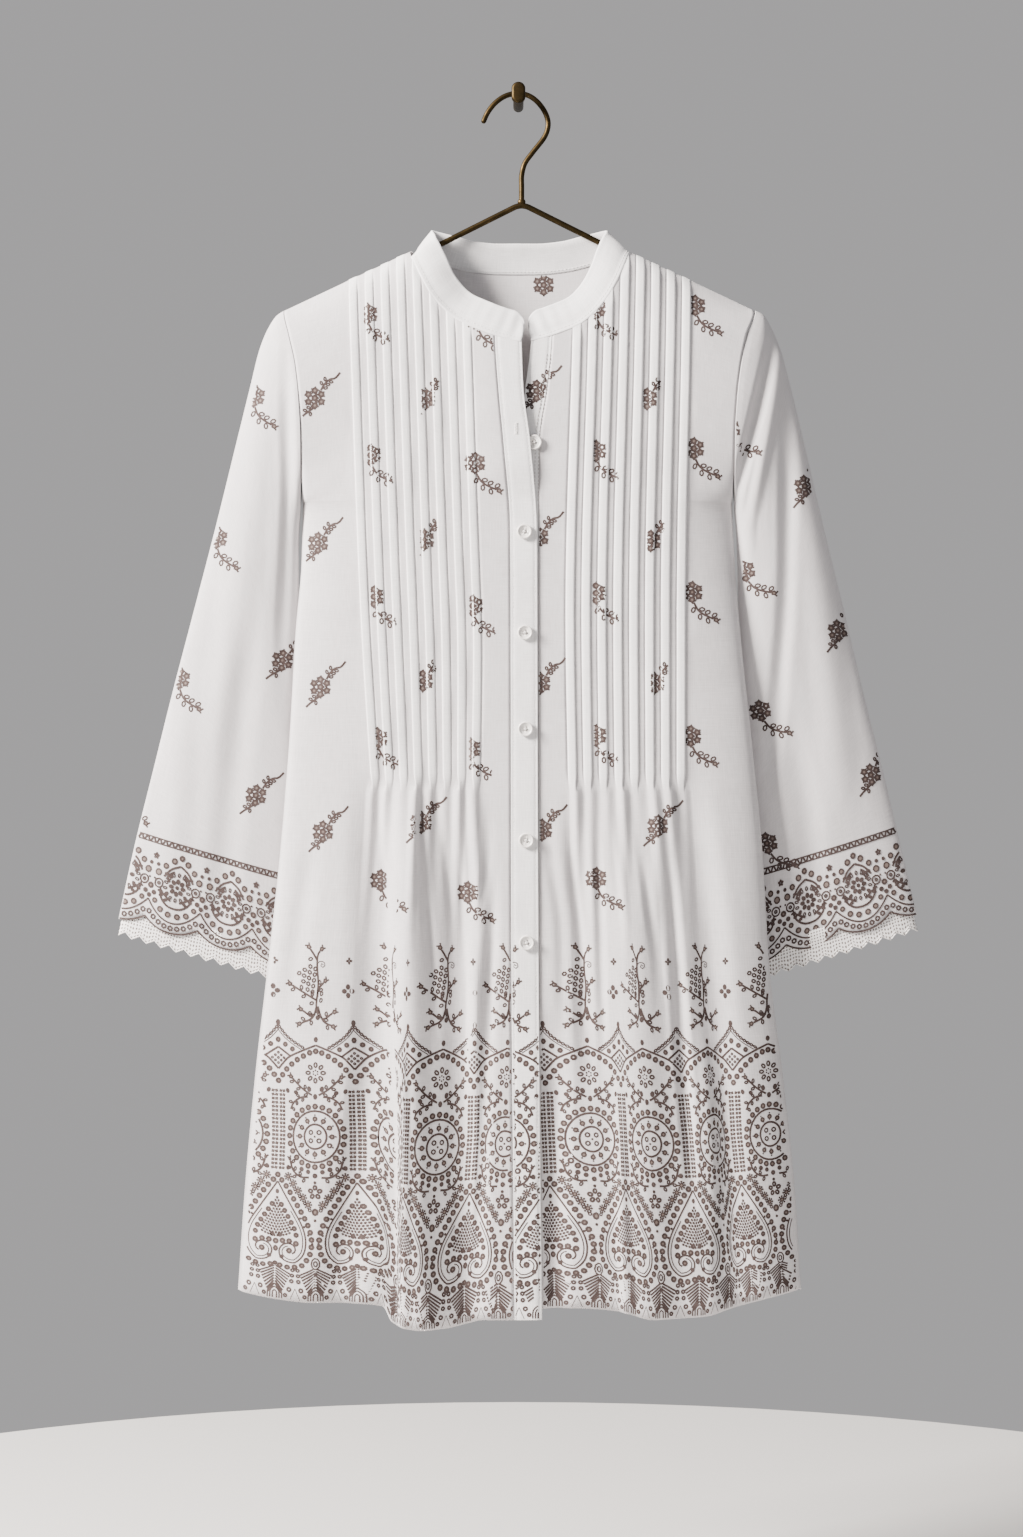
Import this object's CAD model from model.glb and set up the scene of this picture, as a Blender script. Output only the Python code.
"""The dressed kurta tunic: cloth, block print, lace, buttons, hanger and peg.

The garment hangs in front of the plane y = 0, at negative y, and the wearer's right
side is at negative x. Sizes are in millimetres until a mesh is made, and angles in
radians. Every cloth piece is a grid whose rows run down the cloth.
"""

import logging
import math
from collections.abc import Callable, Iterable, Sequence
from dataclasses import dataclass, field
from enum import Enum
from functools import partial
from typing import Any, NamedTuple

import bmesh
import bpy
import numpy as np
from mathutils import Matrix, Vector
from mathutils.bvhtree import BVHTree

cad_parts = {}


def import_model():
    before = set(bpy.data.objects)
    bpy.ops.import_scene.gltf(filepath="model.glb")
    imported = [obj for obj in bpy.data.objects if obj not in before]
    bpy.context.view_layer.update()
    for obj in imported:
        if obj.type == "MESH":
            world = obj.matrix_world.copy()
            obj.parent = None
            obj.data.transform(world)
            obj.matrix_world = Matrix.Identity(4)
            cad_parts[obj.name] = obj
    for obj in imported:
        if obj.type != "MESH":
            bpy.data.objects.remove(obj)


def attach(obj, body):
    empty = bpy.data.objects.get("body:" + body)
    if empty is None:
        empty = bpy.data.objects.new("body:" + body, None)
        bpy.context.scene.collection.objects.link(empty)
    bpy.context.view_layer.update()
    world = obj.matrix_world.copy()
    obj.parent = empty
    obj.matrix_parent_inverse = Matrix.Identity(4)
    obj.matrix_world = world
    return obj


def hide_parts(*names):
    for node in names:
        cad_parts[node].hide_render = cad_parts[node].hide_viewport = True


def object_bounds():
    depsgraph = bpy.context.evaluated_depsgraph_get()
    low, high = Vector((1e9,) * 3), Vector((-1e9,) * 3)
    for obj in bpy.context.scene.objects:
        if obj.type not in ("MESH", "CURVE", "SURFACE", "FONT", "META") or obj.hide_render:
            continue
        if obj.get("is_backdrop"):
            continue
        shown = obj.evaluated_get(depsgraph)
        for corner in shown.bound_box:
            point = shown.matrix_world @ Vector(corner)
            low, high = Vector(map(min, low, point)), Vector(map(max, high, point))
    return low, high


log = logging.getLogger("kurta")
Array = np.ndarray
Mesh = bmesh.types.BMesh
Piece = bpy.types.Object
Finish = bpy.types.Material

MM = 0.001
FRONT, BACK = Vector((0, -1, 0)), Vector((0, 1, 0))
UPRIGHT = Matrix.Rotation(math.radians(90), 4, "X")  # from lying about z to facing the viewer

# Sizes that the cloth shares with the solids it stands for
RIDGE_Y = -24.0
SEAM_GAP = 0.3
SHOULDER_ROUND = 60.0
SIDE_ROUND = 100.0
SHOULDER_TIP_Z = -182.0
ARMPIT_Z = -349.0
SHOULDER_SLOPE = 0.47
FRONT_SWELL = -20.0
BACK_SWELL = 14.0
TUCKS = 8
TUCK_WIDTH = 7.2
TUCK_END_Z = -583.0
RELEASE_Z = -600.0
NECK_TUCK = 4
TUCK_DROP = 0.9
PLACKET_STEP = 0.9
PLACKET_OPEN_LIFT = 3.4
PLACKET_OPEN_Z = -315.0
PLACKET_SHUT_Z = -349.0
OPENING_REACH = 45.0
BAND_END_ROUND = 14.0
BAND_SEAM_GAP = 0.7
HEM_MEAN_Z = -1047.0
SCALLOP_PITCH = 48.3


class Side(Enum):
    """A side of the wearer, by the sign of its x."""

    RIGHT = -1
    LEFT = 1

    @property
    def word(self) -> str:
        """The side's name as pieces carry it."""
        return self.name.lower()

    def pick(self, right: Any, left: Any) -> Any:
        """The first on the wearer's right, and the second on the left."""
        return right if self is Side.RIGHT else left


class Line(Enum):
    """A long edge of a placket, by the end of its column's name."""

    SEAM = "_seam_x"
    FREE = "_edge_x"


class Point(NamedTuple):
    """A point of a line, or of any other table of one value by another."""

    x: float
    z: float


def polyline(*pairs: tuple[float, float]) -> list[Point]:
    """A line through these places."""
    return [Point(*pair) for pair in pairs]


class BodyRow(NamedTuple):
    """The body at one height: its two edges, their depth, and how far it swells."""

    z: float
    right_x: float
    left_x: float
    edge_y: float
    front_y: float
    back_y: float


BODY = [BodyRow(*row) for row in (
    (-1062, -244.5, 246.5, -39, -69, -10),
    (-1030, -242.0, 244.0, -39, -69, -10),
    (-943, -236.0, 238.5, -40, -67, -9),
    (-840, -226.5, 227.5, -41, -64, -9),
    (-754, -216.5, 216.5, -42, -61, -9),
    (-647, -205.0, 210.0, -41, -57, -9),
    (-553, -197.5, 201.0, -39, -53, -9),
    (-460, -192.5, 191.5, -34, -50.2, -9),
    (-397, -187.5, 187.0, -29, -48.7, -9),
    (ARMPIT_Z, -187.0, 185.5, -25, -47.7, -9),
    (-291, -187.4, 186.1, -24, -46.9, -9),
    (-260, -189.0, 188.0, -24, -46.4, -9),
    (-230, -192.3, 191.7, -24, -45.9, -9),
    (-205, -198.0, 197.2, -24, -45.2, -9),
    (SHOULDER_TIP_Z, -203.0, 205.0, -24, -44, -9),
    (-120, -203.0, 205.0, -24, -44, -9),
)]


class TuckRow(NamedTuple):
    """The outermost fold edge on each side at one height, and the pitch inwards."""

    z: float
    right_outer: float
    right_pitch: float
    left_outer: float
    left_pitch: float


TUCK_LINES = [TuckRow(*row) for row in (
    (-589, 126.6, 12.40, 143.0, 13.33),
    (-434, 136.2, 13.80, 143.5, 13.68),
    (-214, 144.5, 13.88, 147.7, 13.44),
    (-104, 148.6, 13.92, 149.8, 13.32),
)]


class OpeningRow(NamedTuple):
    """The edges of the two plackets at one height."""

    z: float
    top_seam_x: float
    top_edge_x: float
    under_edge_x: float
    under_seam_x: float


OPENING = [OpeningRow(*row) for row in (
    (-1062, -3.4, 20.1, -1.0, 20.6),
    (-726, -6.4, 17.1, -4.0, 17.6),
    (-477, -6.9, 16.3, -4.5, 17.0),
    (-374, -7.3, 15.9, -4.7, 17.3),
    (-296, -13.3, 9.9, 0.5, 18.5),
    (-253, -17.4, 4.4, 5.6, 24.6),
    (-214, -20.2, 2.8, 10.6, 28.9),
    (-190, -21.0, 2.4, 12.0, 30.0),
)]


class NeckRow(NamedTuple):
    """A point of the front neck seam, measured outwards from the centre line."""

    out: float
    right_z: float
    left_z: float


NECK = [NeckRow(*row) for row in (
    (-30.0, -216.0, -214.0), (0.0, -211.8, -212.5), (18.5, -207.3, -209.2),
    (40.6, -198.7, -202.0), (53.0, -192.5, -196.5), (65.2, -182.3, -186.5),
    (75.2, -170.8, -175.0), (85.2, -152.7, -158.5), (91.5, -139.5, -144.0),
    (96.0, -132.0, -133.0),
)]
# The back neck seam, measured outwards from the centre line
BACK_NECK = polyline((0.0, -148.7), (20.0, -148.4), (43.0, -146.1), (62.0, -141.8), (82.0, -136.2),
                   (97.0, -131.5))


class BandRow(NamedTuple):
    """The way from the band's seam to its top edge, at a station round the neck.

    Station 0 is a front end, 1 the neck point on its side, and 2 the centre back.
    """

    station: float
    across: float
    back: float
    up: float


BAND = [BandRow(*row) for row in (
    (0.00, 5.0, 8.0, 25.0), (0.33, 9.5, 9.0, 24.0), (0.66, 18.5, 8.0, 19.0),
    (0.88, 22.5, 4.0, 14.5), (1.00, 21.0, 0.0, 17.0), (1.17, 15.0, -4.0, 21.5),
    (1.45, 8.0, -7.0, 24.5), (2.00, 0.0, -8.0, 25.5),
)]

# The front hems, from the wearer's right to the left
HEMS = {
    Side.RIGHT: polyline(
        (-244, -1028.5), (-207, -1033.5), (-175, -1036.0), (-132, -1036.5), (-116, -1038.5),
        (-107.5, -1052.0), (-96, -1056.5), (-83, -1058.0), (-62, -1057.3), (-44, -1054.0),
        (-29, -1050.3), (21, -1049.9)),
    Side.LEFT: polyline(
        (-2, -1041.7), (50, -1040.1), (86, -1042.6), (116, -1049.1), (157, -1047.5),
        (181, -1041.7), (212, -1033.5), (246, -1027.0)),
}
BACK_HEM_SIDE_Z = -1029.0
BACK_HEM_DROP = 5.0


class Fold(NamedTuple):
    """A hanging fold: three points of its line, its half width, and its rise."""

    high_x: float
    high_z: float
    mid_x: float
    mid_z: float
    low_x: float
    low_z: float
    half_width: float
    rise: float


FRONT_FOLDS = [Fold(*row) for row in (
    (-179, -649, -188, -710, -198, -778, 14, -4.0),
    (-123, -610, -124, -780, -158, -1060, 27, -7.0),
    (-94, -610, -92, -850, -82, -1090, 25, 9.0),
    (-50, -670, -50, -860, -42, -1080, 23, -7.0),
    (-39, -600, -35, -692, -40, -850, 8, 3.5),
    (-22, -690, -27, -820, -33, -980, 8, -4.0),
    (31, -820, 31, -950, 31, -1090, 17, -5.0),
    (26, -649, 37, -718, 38, -780, 8, -2.5),
    (49, -640, 53, -735, 60, -840, 15, -4.0),
    (95, -670, 104, -850, 113, -1100, 34, 6.5),
    (128, -660, 138, -795, 148, -930, 10, -4.0),
    (147, -610, 162, -720, 190, -1080, 24, -7.0),
)]
# Thin folds of the front: three squeezed low down, and those that run on from the tucks
FRONT_CREASES = [Fold(*row) for row in (
    (-101, -830, -98, -920, -97, -1075, 8, 3.0),
    (86, -880, 89, -960, 94, -1080, 8, 2.6),
    (160, -820, 163, -880, 168, -960, 10, 2.6),
    (-118, -640, -116, -670, -113, -700, 6, -1.6),
    (-84, -628, -79, -690, -71, -775, 7, -2.3),
    (-66, -640, -61, -670, -57, -705, 6, -2.0),
    (-47, -640, -43, -700, -38, -790, 7, 2.0),
    (-25, -640, -30, -680, -36, -720, 6, -1.8),
    (44, -640, 50, -700, 57, -760, 6, -1.9),
    (66, -630, 70, -720, 72, -820, 7, -2.2),
    (84, -640, 88, -670, 92, -710, 6, 1.7),
    (104, -640, 109, -680, 119, -745, 7, -2.0),
    (122, -630, 127, -700, 131, -790, 7, 1.8),
)]
BACK_FOLDS = [Fold(*row) for row in (
    (-120, -560, -128, -800, -140, -1090, 34, -4.0),
    (0, -420, 2, -760, 4, -1090, 46, -4.0),
    (118, -600, 126, -820, 136, -1090, 32, -4.0),
)]
SLEEVE_FOLDS = {
    Side.RIGHT: [Fold(*row) for row in (
        (-200, -240, -199, -330, -205, -470, 9, -3.0),
        (-224, -250, -240, -400, -262, -560, 24, 2.5),
        (-236, -470, -246, -580, -262, -730, 20, -2.5),
        (-292, -520, -300, -620, -314, -760, 22, 2.0),
    )],
    Side.LEFT: [Fold(*row) for row in (
        (221, -205, 203, -282, 186, -348, 9, -5.0),
        (229, -215, 214, -295, 200, -370, 8, 2.5),
        (233, -290, 232, -400, 218, -590, 11, -3.5),
        (246, -260, 262, -420, 280, -600, 22, 2.5),
        (240, -560, 252, -640, 262, -760, 18, -2.5),
    )],
}
FOLD_FADE = 55.0


class SleeveRow(NamedTuple):
    """A ring of a sleeve: its outer and inner ends, their depth, and its swell."""

    outer_x: float
    outer_z: float
    inner_x: float
    inner_z: float
    outer_y: float
    inner_y: float
    front: float
    back: float


# Each ring's outer and inner ends, and then what both sleeves have in common
SLEEVE_ENDS = {
    Side.RIGHT: (
        (-203.0, SHOULDER_TIP_Z, -187.0, ARMPIT_Z), (-209.4, -186.0, -189.4, -362.0),
        (-217.5, -198.0, -190.6, -380.0), (-224.6, -215.5, -191.0, -402.0),
        (-233.3, -250.3, -191.0, -430.0), (-246.3, -302.4, -191.2, -472.0),
        (-263.7, -371.9, -191.6, -520.0), (-281.9, -441.4, -192.2, -570.0),
        (-300.2, -511.0, -193.2, -618.0), (-317.6, -580.5, -194.6, -668.0),
        (-333.6, -645.0, -196.2, -712.0), (-348.0, -710.0, -197.4, -753.5),
    ),
    Side.LEFT: (
        (205.0, SHOULDER_TIP_Z, 185.5, ARMPIT_Z), (212.4, -185.5, 188.2, -362.0),
        (220.2, -198.0, 189.6, -380.0), (227.3, -215.5, 190.4, -402.0),
        (236.9, -250.3, 190.8, -430.0), (249.1, -302.4, 191.6, -472.0),
        (265.6, -371.9, 193.0, -520.0), (283.0, -441.4, 195.0, -570.0),
        (299.5, -511.0, 197.0, -618.0), (316.9, -580.5, 199.0, -668.0),
        (332.3, -645.0, 200.4, -712.0), (347.0, -706.5, 201.2, -752.0),
    ),
}
SLEEVE_DEPTHS = (
    (-24.0, -25.0, 20.0, 14.0), (-24.0, -24.0, 19.0, 14.0), (-23.5, -22.5, 18.0, 13.0),
    (-23.0, -21.0, 17.5, 13.0), (-22.0, -19.5, 17.0, 12.5), (-21.0, -18.0, 16.0, 12.0),
    (-19.5, -17.0, 15.0, 11.0), (-18.5, -16.5, 14.0, 10.5), (-17.5, -16.0, 13.0, 10.0),
    (-17.0, -15.5, 12.0, 9.5), (-16.5, -15.0, 11.0, 9.0), (-16.0, -15.0, 10.0, 8.5),
)
SLEEVES = {side: [SleeveRow(*ends, *depths) for ends, depths in zip(rows, SLEEVE_DEPTHS)]
           for side, rows in SLEEVE_ENDS.items()}
UNDERARM_CLEARANCE = 1.5


class ButtonRow(NamedTuple):
    """The centre of a button on the front opening."""

    x: float
    z: float
    fastened: bool


BUTTONS = [ButtonRow(*row) for row in (
    (13.6, -298.4, False), (5.1, -375.4, True), (5.6, -462.3, True), (6.0, -545.3, True),
    (6.6, -640.8, True), (7.0, -728.3, True),
)]

# The hanger's hook, in the hanger's plane, from its point to the weld
HOOK = polyline(
    (-31.0, -19.0), (-26.6, -9.5), (-20.0, -1.2), (-11.0, 4.9), (0.0, 7.1), (10.2, 4.4),
    (18.4, -2.4), (24.2, -11.8), (25.8, -21.0), (22.4, -31.2), (12.7, -43.8), (5.6, -53.8),
    (2.9, -64.0), (2.8, -74.0), (2.8, -87.3))


def eased(rows: Sequence[Any], given: str, wanted: str, at: Any) -> Array:
    """A smooth value of one column of a table, with no overshoot between its rows.

    Args:
        rows: The table, in the rising order of its given column.
        given: The column that is known.
        wanted: The column to read.
        at: Where the given column is read.

    Returns:
        The wanted values.
    """
    xs = np.array([getattr(row, given) for row in rows], float)
    ys = np.array([getattr(row, wanted) for row in rows], float)
    at = np.clip(np.asarray(at, float), xs[0], xs[-1])
    steps = np.diff(xs)
    slopes = np.diff(ys) / steps
    tangents = np.zeros(len(xs))
    tangents[0], tangents[-1] = slopes[0], slopes[-1]
    same = slopes[:-1] * slopes[1:] > 0
    total = np.where(same, slopes[:-1] + slopes[1:], 1.0)
    tangents[1:-1] = np.where(same, 2 * slopes[:-1] * slopes[1:] / total, 0.0)
    k = np.clip(np.searchsorted(xs, at, side="right") - 1, 0, len(xs) - 2)
    t = (at - xs[k]) / steps[k]
    start = (1 + 2 * t) * (1 - t) ** 2 * ys[k] + t * (1 - t) ** 2 * tangents[k] * steps[k]
    end = t**2 * (3 - 2 * t) * ys[k + 1] + t**2 * (t - 1) * tangents[k + 1] * steps[k]
    return start + end


def quarter(t: Any) -> Array:
    """A quarter ellipse, upright where t is 0 and level from where t is 1."""
    return np.sqrt(1.0 - (1.0 - np.clip(t, 0.0, 1.0)) ** 2)


def ramp(t: Any) -> Array:
    """A soft step from 0 to 1."""
    t = np.clip(t, 0.0, 1.0)
    return t * t * (3.0 - 2.0 * t)


def unit(ways: Array) -> Array:
    """The same directions with a length of 1."""
    return ways / np.maximum(np.linalg.norm(ways, axis=-1, keepdims=True), 1e-9)


def smooth_route(places: Any, per_span: int = 8) -> Array:
    """Points along a smooth curve through the given ones.

    Args:
        places: The points it passes through.
        per_span: How many points it has for each gap.

    Returns:
        The curve's points.
    """
    places = np.asarray(places, float)
    padded = np.concatenate([[2 * places[0] - places[1]], places, [2 * places[-1] - places[-2]]])
    route = []
    for a, b, c, d in zip(padded, padded[1:], padded[2:], padded[3:]):
        for t in np.linspace(0.0, 1.0, per_span, endpoint=False):
            square = (2 * a - 5 * b + 4 * c - d) * t**2
            route.append(0.5 * (2 * b + (c - a) * t + square + (3 * b - a - 3 * c + d) * t**3))
    return np.array([*route, places[-1]])


def path_lengths(path: Array) -> Array:
    """How far along a path each of its points is."""
    return np.r_[0.0, np.cumsum(np.linalg.norm(np.diff(path, axis=0), axis=1))]


def along(path: Array, places: Any) -> Array:
    """The points at these distances along a path."""
    lengths = path_lengths(path)
    return np.stack([np.interp(places, lengths, column) for column in path.T], axis=1)


# The shape of the body


def side_x(side: Side, z: Any) -> Array:
    """The side seam below the armpit, and the armhole above it."""
    return eased(BODY, "z", side.word + "_x", z)


def tuck_x(side: Side, k: int, z: Any) -> Array:
    """The fold edge of tuck k, counted from the side, at a height above the release.

    Args:
        side: The side of the wearer.
        k: The number of the tuck.
        z: The heights.

    Returns:
        Where each lies across.
    """
    z = np.maximum(z, TUCK_LINES[0].z)
    outer = eased(TUCK_LINES, "z", side.word + "_outer", z)
    pitch = eased(TUCK_LINES, "z", side.word + "_pitch", z)
    return side.value * (outer - pitch * k)


def released(z: Any) -> Array:
    """How far the tucks have opened at a height: 0 while they are sewn, then 1."""
    return ramp((TUCK_END_Z - z) / (TUCK_END_Z - RELEASE_Z))


def opening_x(side: Side, line: Line, z: Any) -> Array:
    """An edge of one side's placket; the one on the wearer's right lies on top."""
    return eased(OPENING, "z", side.pick("top", "under") + line.value, z)


def neck_point(side: Side) -> tuple[float, float]:
    """Where the neck seam meets the shoulder seam."""
    x = float(tuck_x(side, NECK_TUCK, -133.0)) + side.value * TUCK_DROP
    tip = abs(float(side_x(side, SHOULDER_TIP_Z)))
    return x, SHOULDER_TIP_Z + SHOULDER_SLOPE * (tip - abs(x))


NECK_POINTS = {side: neck_point(side) for side in Side}


def by_side(x: Array, right: Any, left: Any) -> Array:
    """One value on the wearer's right and another on the left."""
    return np.where(np.asarray(x) < 0, right, left)


def ridge_z(x: Array) -> Array:
    """The shoulder line, carried on over the neck."""
    right, left = NECK_POINTS[Side.RIGHT], NECK_POINTS[Side.LEFT]
    out = np.abs(x) - by_side(x, abs(right[0]), abs(left[0]))
    return by_side(x, right[1], left[1]) - SHOULDER_SLOPE * out


ARMHOLE_BLUR = 0.55  # share of the way in from the edge over which the armhole's swell blurs
ARMHOLE_BLUR_REACH = 75.0
ARMHOLE_BLUR_STEPS = 9
SIDE_TURN = 45.0  # how far over the armpit the side's rounding changes


def edge_y(x: Array, z: Array, swell: float, reach: Array) -> Array:
    """The depth of the body's edge, where the armhole swells in its middle.

    Args:
        x: Where across.
        z: Where up.
        swell: How far the armhole's own half ellipse stands off, at the very edge.
        reach: How far in from the edge each place is, over which the swell softens.

    Returns:
        The depths.
    """
    share = (z - ARMPIT_Z) / (ridge_z(x) - ARMPIT_Z)
    raised = ARMPIT_Z + share * (SHOULDER_TIP_Z - ARMPIT_Z)
    level_z = np.where(z > ARMPIT_Z, raised, z)
    soft = ARMHOLE_BLUR * np.minimum(reach, ARMHOLE_BLUR_REACH)
    shifts = np.linspace(-1.0, 1.0, ARMHOLE_BLUR_STEPS)
    weights = 1.2 - np.abs(shifts)
    bow = np.zeros_like(level_z)
    for shift, weight in zip(shifts, weights):
        w = 2.0 * (SHOULDER_TIP_Z - level_z - shift * soft) / (SHOULDER_TIP_Z - ARMPIT_Z) - 1.0
        bow += np.sqrt(np.clip(1.0 - w**2, 0.0, 1.0)) * weight
    bow /= sum(weights)
    return eased(BODY, "z", "edge_y", level_z) + swell * bow


def fold_rise(folds: Sequence[Fold], x: Array, z: Array) -> Array:
    """The summed rise of the hanging folds at each place.

    Args:
        folds: The folds.
        x: Where across.
        z: Where up.

    Returns:
        The rises, without a sign for front or back.
    """
    total = np.zeros(np.broadcast(x, z).shape)
    for fold in folds:
        line = polyline((fold.low_x, fold.low_z), (fold.mid_x, fold.mid_z), (fold.high_x, fold.high_z))
        offset = np.clip((x - eased(line, "z", "x", z)) / fold.half_width, -1.0, 1.0)
        shown = ramp((fold.high_z + FOLD_FADE - z) / (2 * FOLD_FADE))
        shown = shown * ramp((z - fold.low_z + FOLD_FADE) / (2 * FOLD_FADE))
        total += fold.rise * shown * 0.5 * (1.0 + np.cos(np.pi * offset))
    return total


def body_y(x: Array, z: Array, front: bool) -> Array:
    """The depth of the front or the back of the body.

    Args:
        x: Where across.
        z: Where up.
        front: Whether it is the front.

    Returns:
        The depths.
    """
    x, z = np.broadcast_arrays(np.asarray(x, float), np.asarray(z, float))
    reach = np.abs(by_side(x, side_x(Side.RIGHT, z), side_x(Side.LEFT, z)) - x)
    level = eased(BODY, "z", "front_y" if front else "back_y", z)
    middle = RIDGE_Y + (level - RIDGE_Y) * quarter((ridge_z(x) - z) / SHOULDER_ROUND)
    folds = fold_rise(FRONT_FOLDS if front else BACK_FOLDS, x, z)
    middle = middle + (-folds if front else folds)
    edge = edge_y(x, z, FRONT_SWELL if front else BACK_SWELL, reach)
    upright = ramp((ARMPIT_Z + SIDE_TURN - z) / SIDE_TURN)
    t = np.minimum(1.0, reach / SIDE_ROUND)
    rounding = upright * quarter(t) + (1.0 - upright) * np.sin(np.pi * t / 2)
    return edge + (middle - edge) * rounding


def front_y(side: Side, x: Array, z: Array) -> Array:
    """The depth of a front panel or placket, lapped at the opening.

    Args:
        side: Which front.
        x: Where across.
        z: Where up.

    Returns:
        The depths.
    """
    near = 1.0 - ramp(np.maximum(0.0, side.value * (x - opening_x(side, Line.SEAM, z))) / OPENING_REACH)
    opened = ramp((z - PLACKET_SHUT_Z) / (PLACKET_OPEN_Z - PLACKET_SHUT_Z))
    lap = side.pick(-(PLACKET_STEP + PLACKET_OPEN_LIFT * opened), PLACKET_STEP)
    return body_y(x, z, True) + lap * near


def neck_z(side: Side, x: Array) -> Array:
    """The height of the front neck seam."""
    return eased(NECK, "out", side.word + "_z", side.value * np.asarray(x))


def hem_z(side: Side, x: Array) -> Array:
    """The height of the front hem."""
    return eased(HEMS[side], "x", "z", x)


def back_hem_z(share: Array) -> Array:
    """The height of the back hem at shares of the way across."""
    return BACK_HEM_SIDE_Z - BACK_HEM_DROP * np.sin(np.pi * share)


# Meshes


@dataclass(frozen=True)
class Dresser:
    """Puts finished meshes into the frame, each riding on the one body."""

    body: str = "root"

    def place(self, name: str, bm: Mesh, finish: Finish, stands_for: Sequence[str] = (),
              slot: str | None = None) -> Piece:
        """Makes a mesh a piece of the part.

        Args:
            name: The piece's name.
            bm: Its mesh in metres, which is freed.
            finish: Its material.
            stands_for: The solids it stands for.
            slot: The record's material slot that it takes its finish from.

        Returns:
            The piece.
        """
        mesh = bpy.data.meshes.new(name)
        bm.to_mesh(mesh)
        bm.free()
        mesh.shade_smooth()
        mesh.materials.append(finish)
        piece = bpy.data.objects.new(name, mesh)
        bpy.context.scene.collection.objects.link(piece)
        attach(piece, self.body)
        if stands_for:
            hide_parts(*stands_for)
        log.info("%s: %d faces", name, len(mesh.polygons))
        return piece


def grid_mesh(places: Array, plies: Array | None = None, wrapped: bool = False) -> Mesh:
    """A mesh through a grid of points, with cloth lengths as its UV map.

    Args:
        places: Rows by columns by 3, in millimetres. Wrapped, the last column repeats
            the first.
        plies: How many layers of cloth each point stands for.
        wrapped: Whether the grid closes round a tube.

    Returns:
        The mesh, in metres.
    """
    rows, columns = places.shape[:2]
    u = path_lengths(places[rows // 3]) * MM
    v = -path_lengths(places[:, columns // 2]) * MM
    bm = bmesh.new()
    bmesh.ops.create_grid(bm, x_segments=columns - 1, y_segments=rows - 1, size=0.5)
    column = [round((vert.co.x + 0.5) * (columns - 1)) for vert in bm.verts]
    row = [round((vert.co.y + 0.5) * (rows - 1)) for vert in bm.verts]
    layer = bm.loops.layers.uv.new("cloth")
    sheets = bm.verts.layers.float.new("plies")
    for face in bm.faces:
        for loop in face.loops:
            k = loop.vert.index
            loop[layer].uv = (u[column[k]], v[row[k]])
    for k, vert in enumerate(bm.verts):
        vert.co = places[row[k], column[k]] * MM
        vert[sheets] = 1.0 if plies is None else float(plies[row[k], column[k]])
    if wrapped:
        bmesh.ops.remove_doubles(bm, verts=bm.verts[:], dist=1e-7)
    return bm


def facing(bm: Mesh, way_out: Callable[[Vector], Vector]) -> None:
    """Turns a sheet's faces so that they point the way given at their middle."""
    bm.normal_update()
    if sum(face.normal.dot(way_out(face.calc_center_median())) for face in bm.faces) < 0:
        bmesh.ops.reverse_faces(bm, faces=bm.faces[:])


def thicken(piece: Piece, wall: float) -> None:
    """Gives a sheet its wall, in millimetres, about its middle.

    Args:
        piece: The sheet.
        wall: The wall.
    """
    solid = piece.modifiers.new("wall", "SOLIDIFY")
    solid.thickness = wall * MM
    solid.offset = 0.0
    solid.use_rim = True


def soften(piece: Piece, size: float) -> None:
    """Rounds a walled piece's sharp edges by this many millimetres.

    Args:
        piece: The piece.
        size: How far the rounding reaches.
    """
    bevel = piece.modifiers.new("rounded edge", "BEVEL")
    bevel.width = size * MM
    bevel.segments = 2
    bevel.limit_method = "ANGLE"
    bevel.angle_limit = math.radians(55)


def cloth_area(piece: Piece) -> float:
    """The area of a sheet's mesh, in square metres."""
    return sum(face.area for face in piece.data.polygons)


def close_ends(bm: Mesh) -> None:
    """Closes the open ends of a tube and turns its faces outwards.

    Args:
        bm: The tube's mesh.
    """
    rims = [edge for edge in bm.edges if edge.is_boundary]
    if rims:
        bmesh.ops.holes_fill(bm, edges=rims)
    bmesh.ops.recalc_face_normals(bm, faces=bm.faces[:])


def tube(path: Array, radius: Any, sides: int, closed: bool = False) -> Mesh:
    """A round rod along a path, its ends closed unless the path is.

    Args:
        path: Points along its middle, in millimetres.
        radius: One radius, or one for each point.
        sides: How many faces it has round it.
        closed: Whether its end joins its start.

    Returns:
        The mesh, in metres.
    """
    path = np.asarray(path, float)
    if closed:
        tangent = unit(np.roll(path, -1, axis=0) - np.roll(path, 1, axis=0))
    else:
        tangent = unit(np.gradient(path, axis=0))
    level = abs(tangent[:, 1]).max() > 0.9
    first = unit(np.cross(tangent, (0.83, 0.0, 0.55) if level else (0.0, -1.0, 0.0)))
    second = np.cross(tangent, first)
    turn = np.linspace(0.0, 2 * math.pi, sides + 1)[None, :, None]
    radii = np.broadcast_to(np.asarray(radius, float), (len(path),))[:, None, None]
    around = first[:, None] * np.cos(turn) + second[:, None] * np.sin(turn)
    places = path[:, None] + around * radii
    if closed:
        places = np.concatenate([places, places[:1]])
    bm = grid_mesh(places, None, wrapped=True)
    close_ends(bm)
    return bm


def joined(parts: Sequence[Mesh]) -> Mesh:
    """Several meshes as one. The others are freed.

    Args:
        parts: The meshes.

    Returns:
        The whole.
    """
    whole = bmesh.new()
    for part in parts:
        mesh = bpy.data.meshes.new("part")
        part.to_mesh(mesh)
        part.free()
        whole.from_mesh(mesh)
        bpy.data.meshes.remove(mesh)
    return whole


# Finishes

WAVE_SCALE = 0.314  # the scale of a wave texture whose bands are a metre apart


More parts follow.
